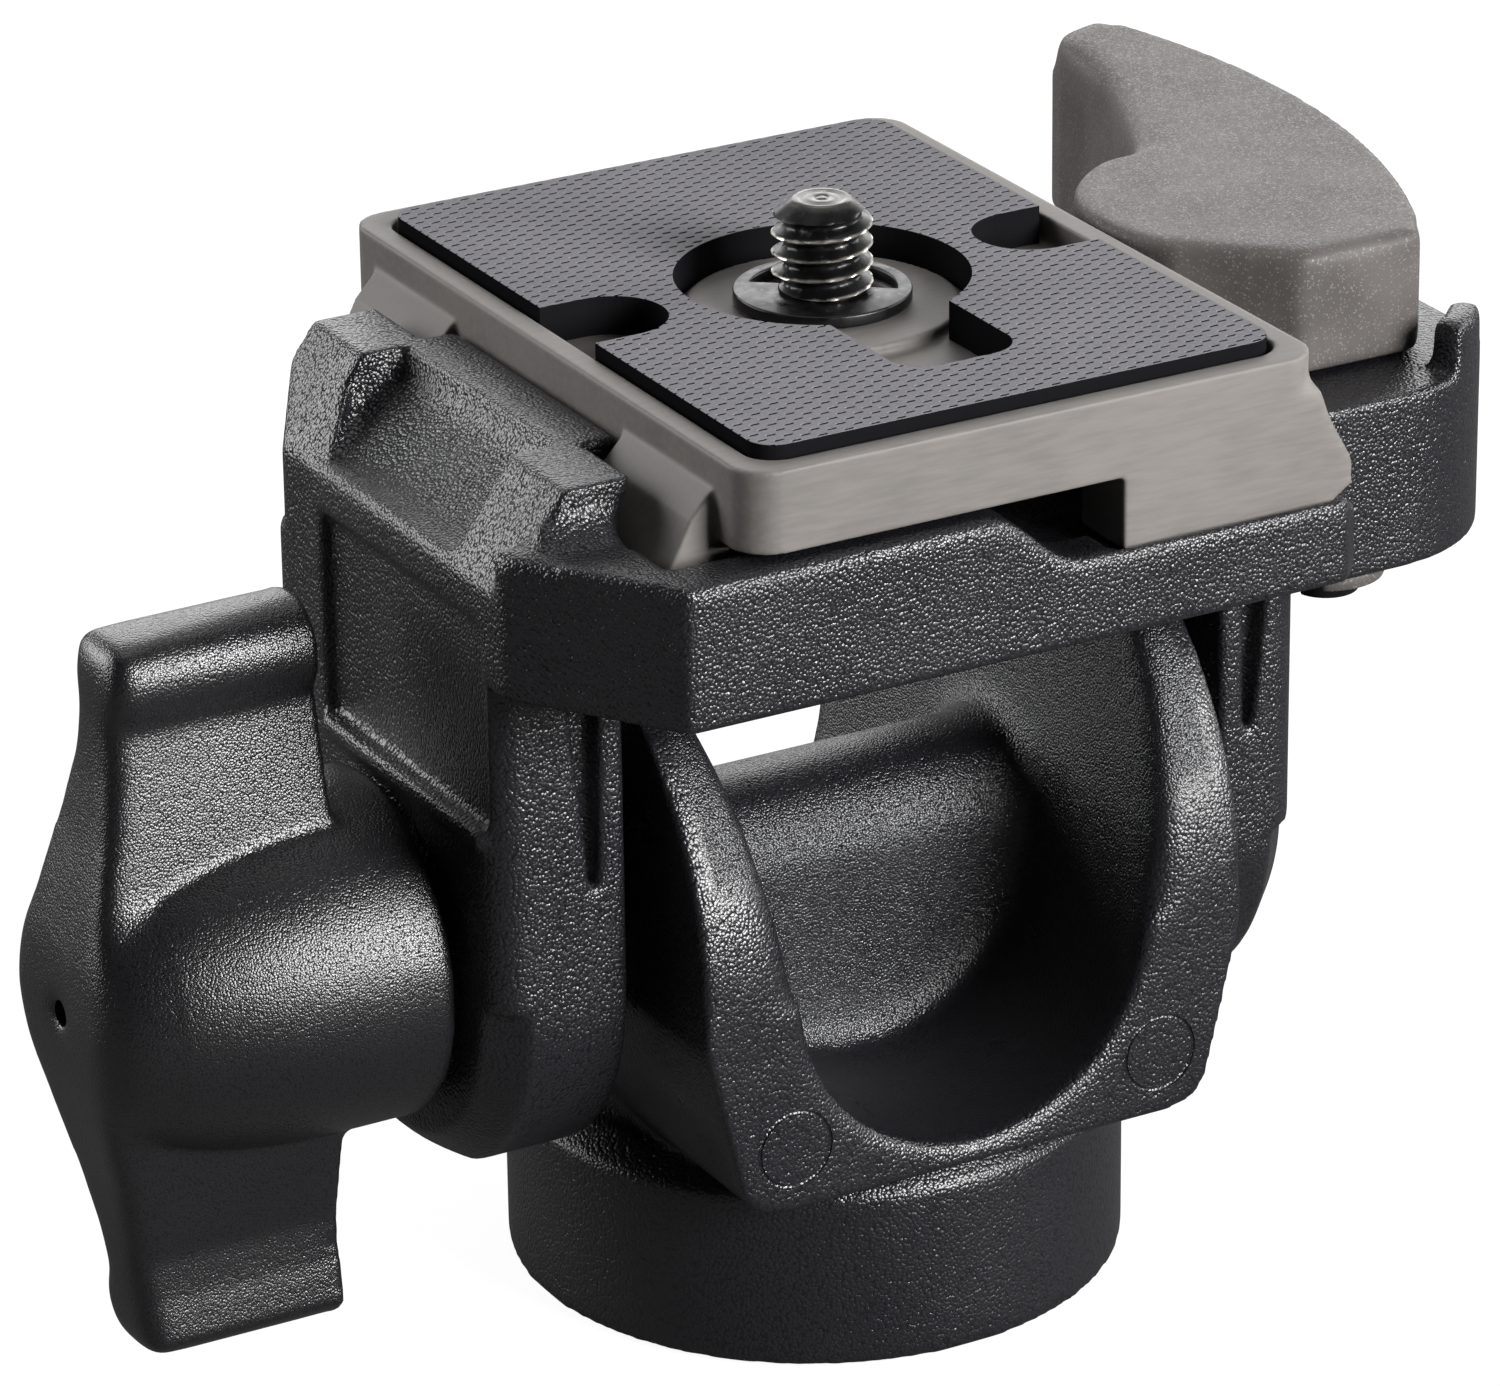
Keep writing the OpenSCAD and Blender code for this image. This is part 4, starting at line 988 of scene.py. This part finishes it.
class HEAD_OT_lever_works(bpy.types.Operator):
    """Pin, spring, cover and clip of the lever, and the trip pin with its spring"""

    bl_idname = "head.lever_works"
    bl_label = "Lever and trip hardware"

    def execute(self, context):
        sizes, colours = context.scene.head_sizes, context.scene.head_colours
        steel = finish("zinc_steel", turned_material, colours.steel)
        brass = finish("brass_turned", turned_material, colours.brass)
        oxide = finish("ring_oxide", oxide_material, colours.oxide, colours.bright)
        paint = finish("lever_paint", sparkle_material, colours.lever)
        place_hardware((
            ("lever_pivot", "lever", "steel", steel, 0.25),
            ("spring_cover", "platform", "bronze_paint", paint, 0.25),
            ("cover_screw", "platform", "black_steel", oxide, 0.2),
            ("lever_clip", "lever", "black_steel", oxide, 0.1),
            ("trip_pin", "trip", "brass", brass, 0.15)))
        spring = copy_of_node("trip_spring", "trip_spring_part")
        smooth_shaded(spring)
        place(spring, "platform", "steel", steel, "trip_spring")
        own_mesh(spring)
        for node, mat in (("lever_bush", brass), ("lever_spring", steel), ("trip_plug", steel)):
            NODES[node].material_slots[0].material = mat
        return {"FINISHED"}


# Stage


def lamp(name, at, aim, size, power):
    """A soft square lamp that points at a place."""
    light = bpy.data.lights.new(name, "AREA")
    light.shape = "RECTANGLE"
    light.size, light.size_y = size
    light.energy = power
    obj = bpy.data.objects.new(name, light)
    bpy.context.scene.collection.objects.link(obj)
    obj.location = at
    obj.visible_camera = False
    obj.rotation_euler = (Vector(aim) - Vector(at)).to_track_quat("-Z", "Y").to_euler()


def photo_camera():
    """Camera at the photograph's view."""
    azimuth, elevation, roll = (math.radians(a) for a in (-29.060, 23.288, -0.738))
    slide, rise, distance = -4.222 * MM, 34.531 * MM, 494.315 * MM
    focal, long_side = 7556.05, 1500
    flat = math.cos(elevation)
    back = Vector((math.sin(azimuth) * flat, -math.cos(azimuth) * flat, math.sin(elevation)))
    level = Vector((math.cos(azimuth), math.sin(azimuth), 0))
    upright = back.cross(level)
    right = level * math.cos(roll) + upright * math.sin(roll)
    up = upright * math.cos(roll) - level * math.sin(roll)
    data = bpy.data.cameras.new("photo_camera")
    data.sensor_width = 36
    data.lens = focal / long_side * data.sensor_width
    data.clip_start, data.clip_end = 0.01, 20
    obj = bpy.data.objects.new("photo_camera", data)
    bpy.context.scene.collection.objects.link(obj)
    turn = Matrix((right, up, back)).transposed().to_4x4()
    obj.matrix_world = Matrix.Translation(back * distance + right * slide + up * rise) @ turn
    bpy.context.scene.camera = obj


class HEAD_OT_stage(bpy.types.Operator):
    """Pale floor, white surround, soft lamps and the camera"""

    bl_idname = "head.stage"
    bl_label = "Stage"

    def execute(self, context):
        colours = context.scene.head_colours
        deselect()
        floor_size, floor_drop = 6, 0.2 * MM
        bpy.ops.mesh.primitive_plane_add(size=floor_size, location=(0, 0, -floor_drop))
        floor = new_piece("studio_floor")
        apply_place(floor)
        mat = bpy.data.materials.new("floor_white")
        mat.use_nodes = True
        tree = mat.node_tree
        shader = tree.nodes["Principled BSDF"]
        shader.inputs["Base Color"].default_value = (*colours.floor, 1)
        shader.inputs["Roughness"].default_value = 0.9
        shader.inputs["Specular IOR Level"].default_value = 0.0
        seen = add(tree, "LightPath").outputs
        camera_glow, mirror_glow = 0.9, 0.04
        direct = seen["Is Camera Ray"]
        mirrored = maths(tree, "MAXIMUM", seen["Is Glossy Ray"], seen["Is Transmission Ray"])
        faint = maths(tree, "MULTIPLY", maths(tree, "MAXIMUM", direct, mirrored), mirror_glow)
        glow = maths(tree, "MULTIPLY_ADD", direct, camera_glow, faint)
        link(tree, glow, shader, "Emission Strength")
        shader.inputs["Emission Color"].default_value = (1, 1, 1, 1)
        floor.data.materials.append(mat)

        world = bpy.data.worlds.new("studio_world")
        context.scene.world = world
        world.use_nodes = True
        tree = world.node_tree
        ground = tree.nodes["Background"]
        seen = add(tree, "LightPath").outputs
        direction = add(tree, "TexCoord").outputs["Generated"]
        toward_back = add(tree, "SeparateXYZ", Vector=direction).outputs[1]
        front_light, back_light = 0.012, 0.07
        behind = ramp(tree, toward_back, -0.1, 0.8, front_light, back_light)
        seen_white = maths(tree, "MAXIMUM", seen["Is Camera Ray"], seen["Is Transmission Ray"])
        shown = maths(tree, "MAXIMUM", behind, seen_white)
        ground.inputs["Color"].default_value = (1, 1, 1, 1)
        tree.links.new(shown, ground.inputs["Strength"])

        aim = (0, 0, 0.04)
        lamp("left_backdrop", (-0.75, 0.9, 0.4), aim, (1.0, 0.7), 13.0)
        lamp("right_backdrop", (0.6, 0.95, 0.45), aim, (1.2, 0.7), 9.0)
        lamp("key_lamp", (0.28, -0.67, 0.3), (0, 0, 0.05), (0.34, 0.3), 11.5)
        lamp("top_lamp", (0.08, 0.2, 0.75), aim, (0.5, 0.4), 1.0)
        lamp("right_lamp", (0.9, -0.1, 0.35), aim, (0.5, 0.4), 4.0)
        photo_camera()
        context.scene.view_settings.view_transform = "Standard"
        return {"FINISHED"}


OPERATORS = (HEAD_OT_saddle, HEAD_OT_platform, HEAD_OT_knob, HEAD_OT_plate, HEAD_OT_pad,
             HEAD_OT_camera_screw, HEAD_OT_lever, HEAD_OT_thread_insert, HEAD_OT_axle,
             HEAD_OT_lever_works, HEAD_OT_stage)


class HEAD_PT_pieces(bpy.types.Panel):
    """Lists the operators and the values that they use"""

    bl_label = "Tilt head"
    bl_idname = "HEAD_PT_pieces"
    bl_space_type = "VIEW_3D"
    bl_region_type = "UI"
    bl_category = "Tilt head"

    def draw(self, context):
        for group in (context.scene.head_sizes, context.scene.head_colours):
            box = self.layout.box()
            for key in group.__annotations__:
                box.prop(group, key)
        for operator in OPERATORS:
            self.layout.operator(operator.bl_idname)


CLASSES = (HeadSizes, HeadColours, *OPERATORS, HEAD_PT_pieces)


def register():
    """Adds the operators, the panel and the scene's values."""
    for cls in CLASSES:
        bpy.utils.register_class(cls)
    bpy.types.Scene.head_sizes = bpy.props.PointerProperty(type=HeadSizes)
    bpy.types.Scene.head_colours = bpy.props.PointerProperty(type=HeadColours)


def unregister():
    """Takes away all that register added."""
    del bpy.types.Scene.head_colours
    del bpy.types.Scene.head_sizes
    for cls in reversed(CLASSES):
        bpy.utils.unregister_class(cls)


def main():
    """Builds every piece and the stage."""
    register()
    for operator in OPERATORS:
        group, name = operator.bl_idname.split(".")
        getattr(getattr(bpy.ops, group), name)()


if __name__ == "__main__":
    main()
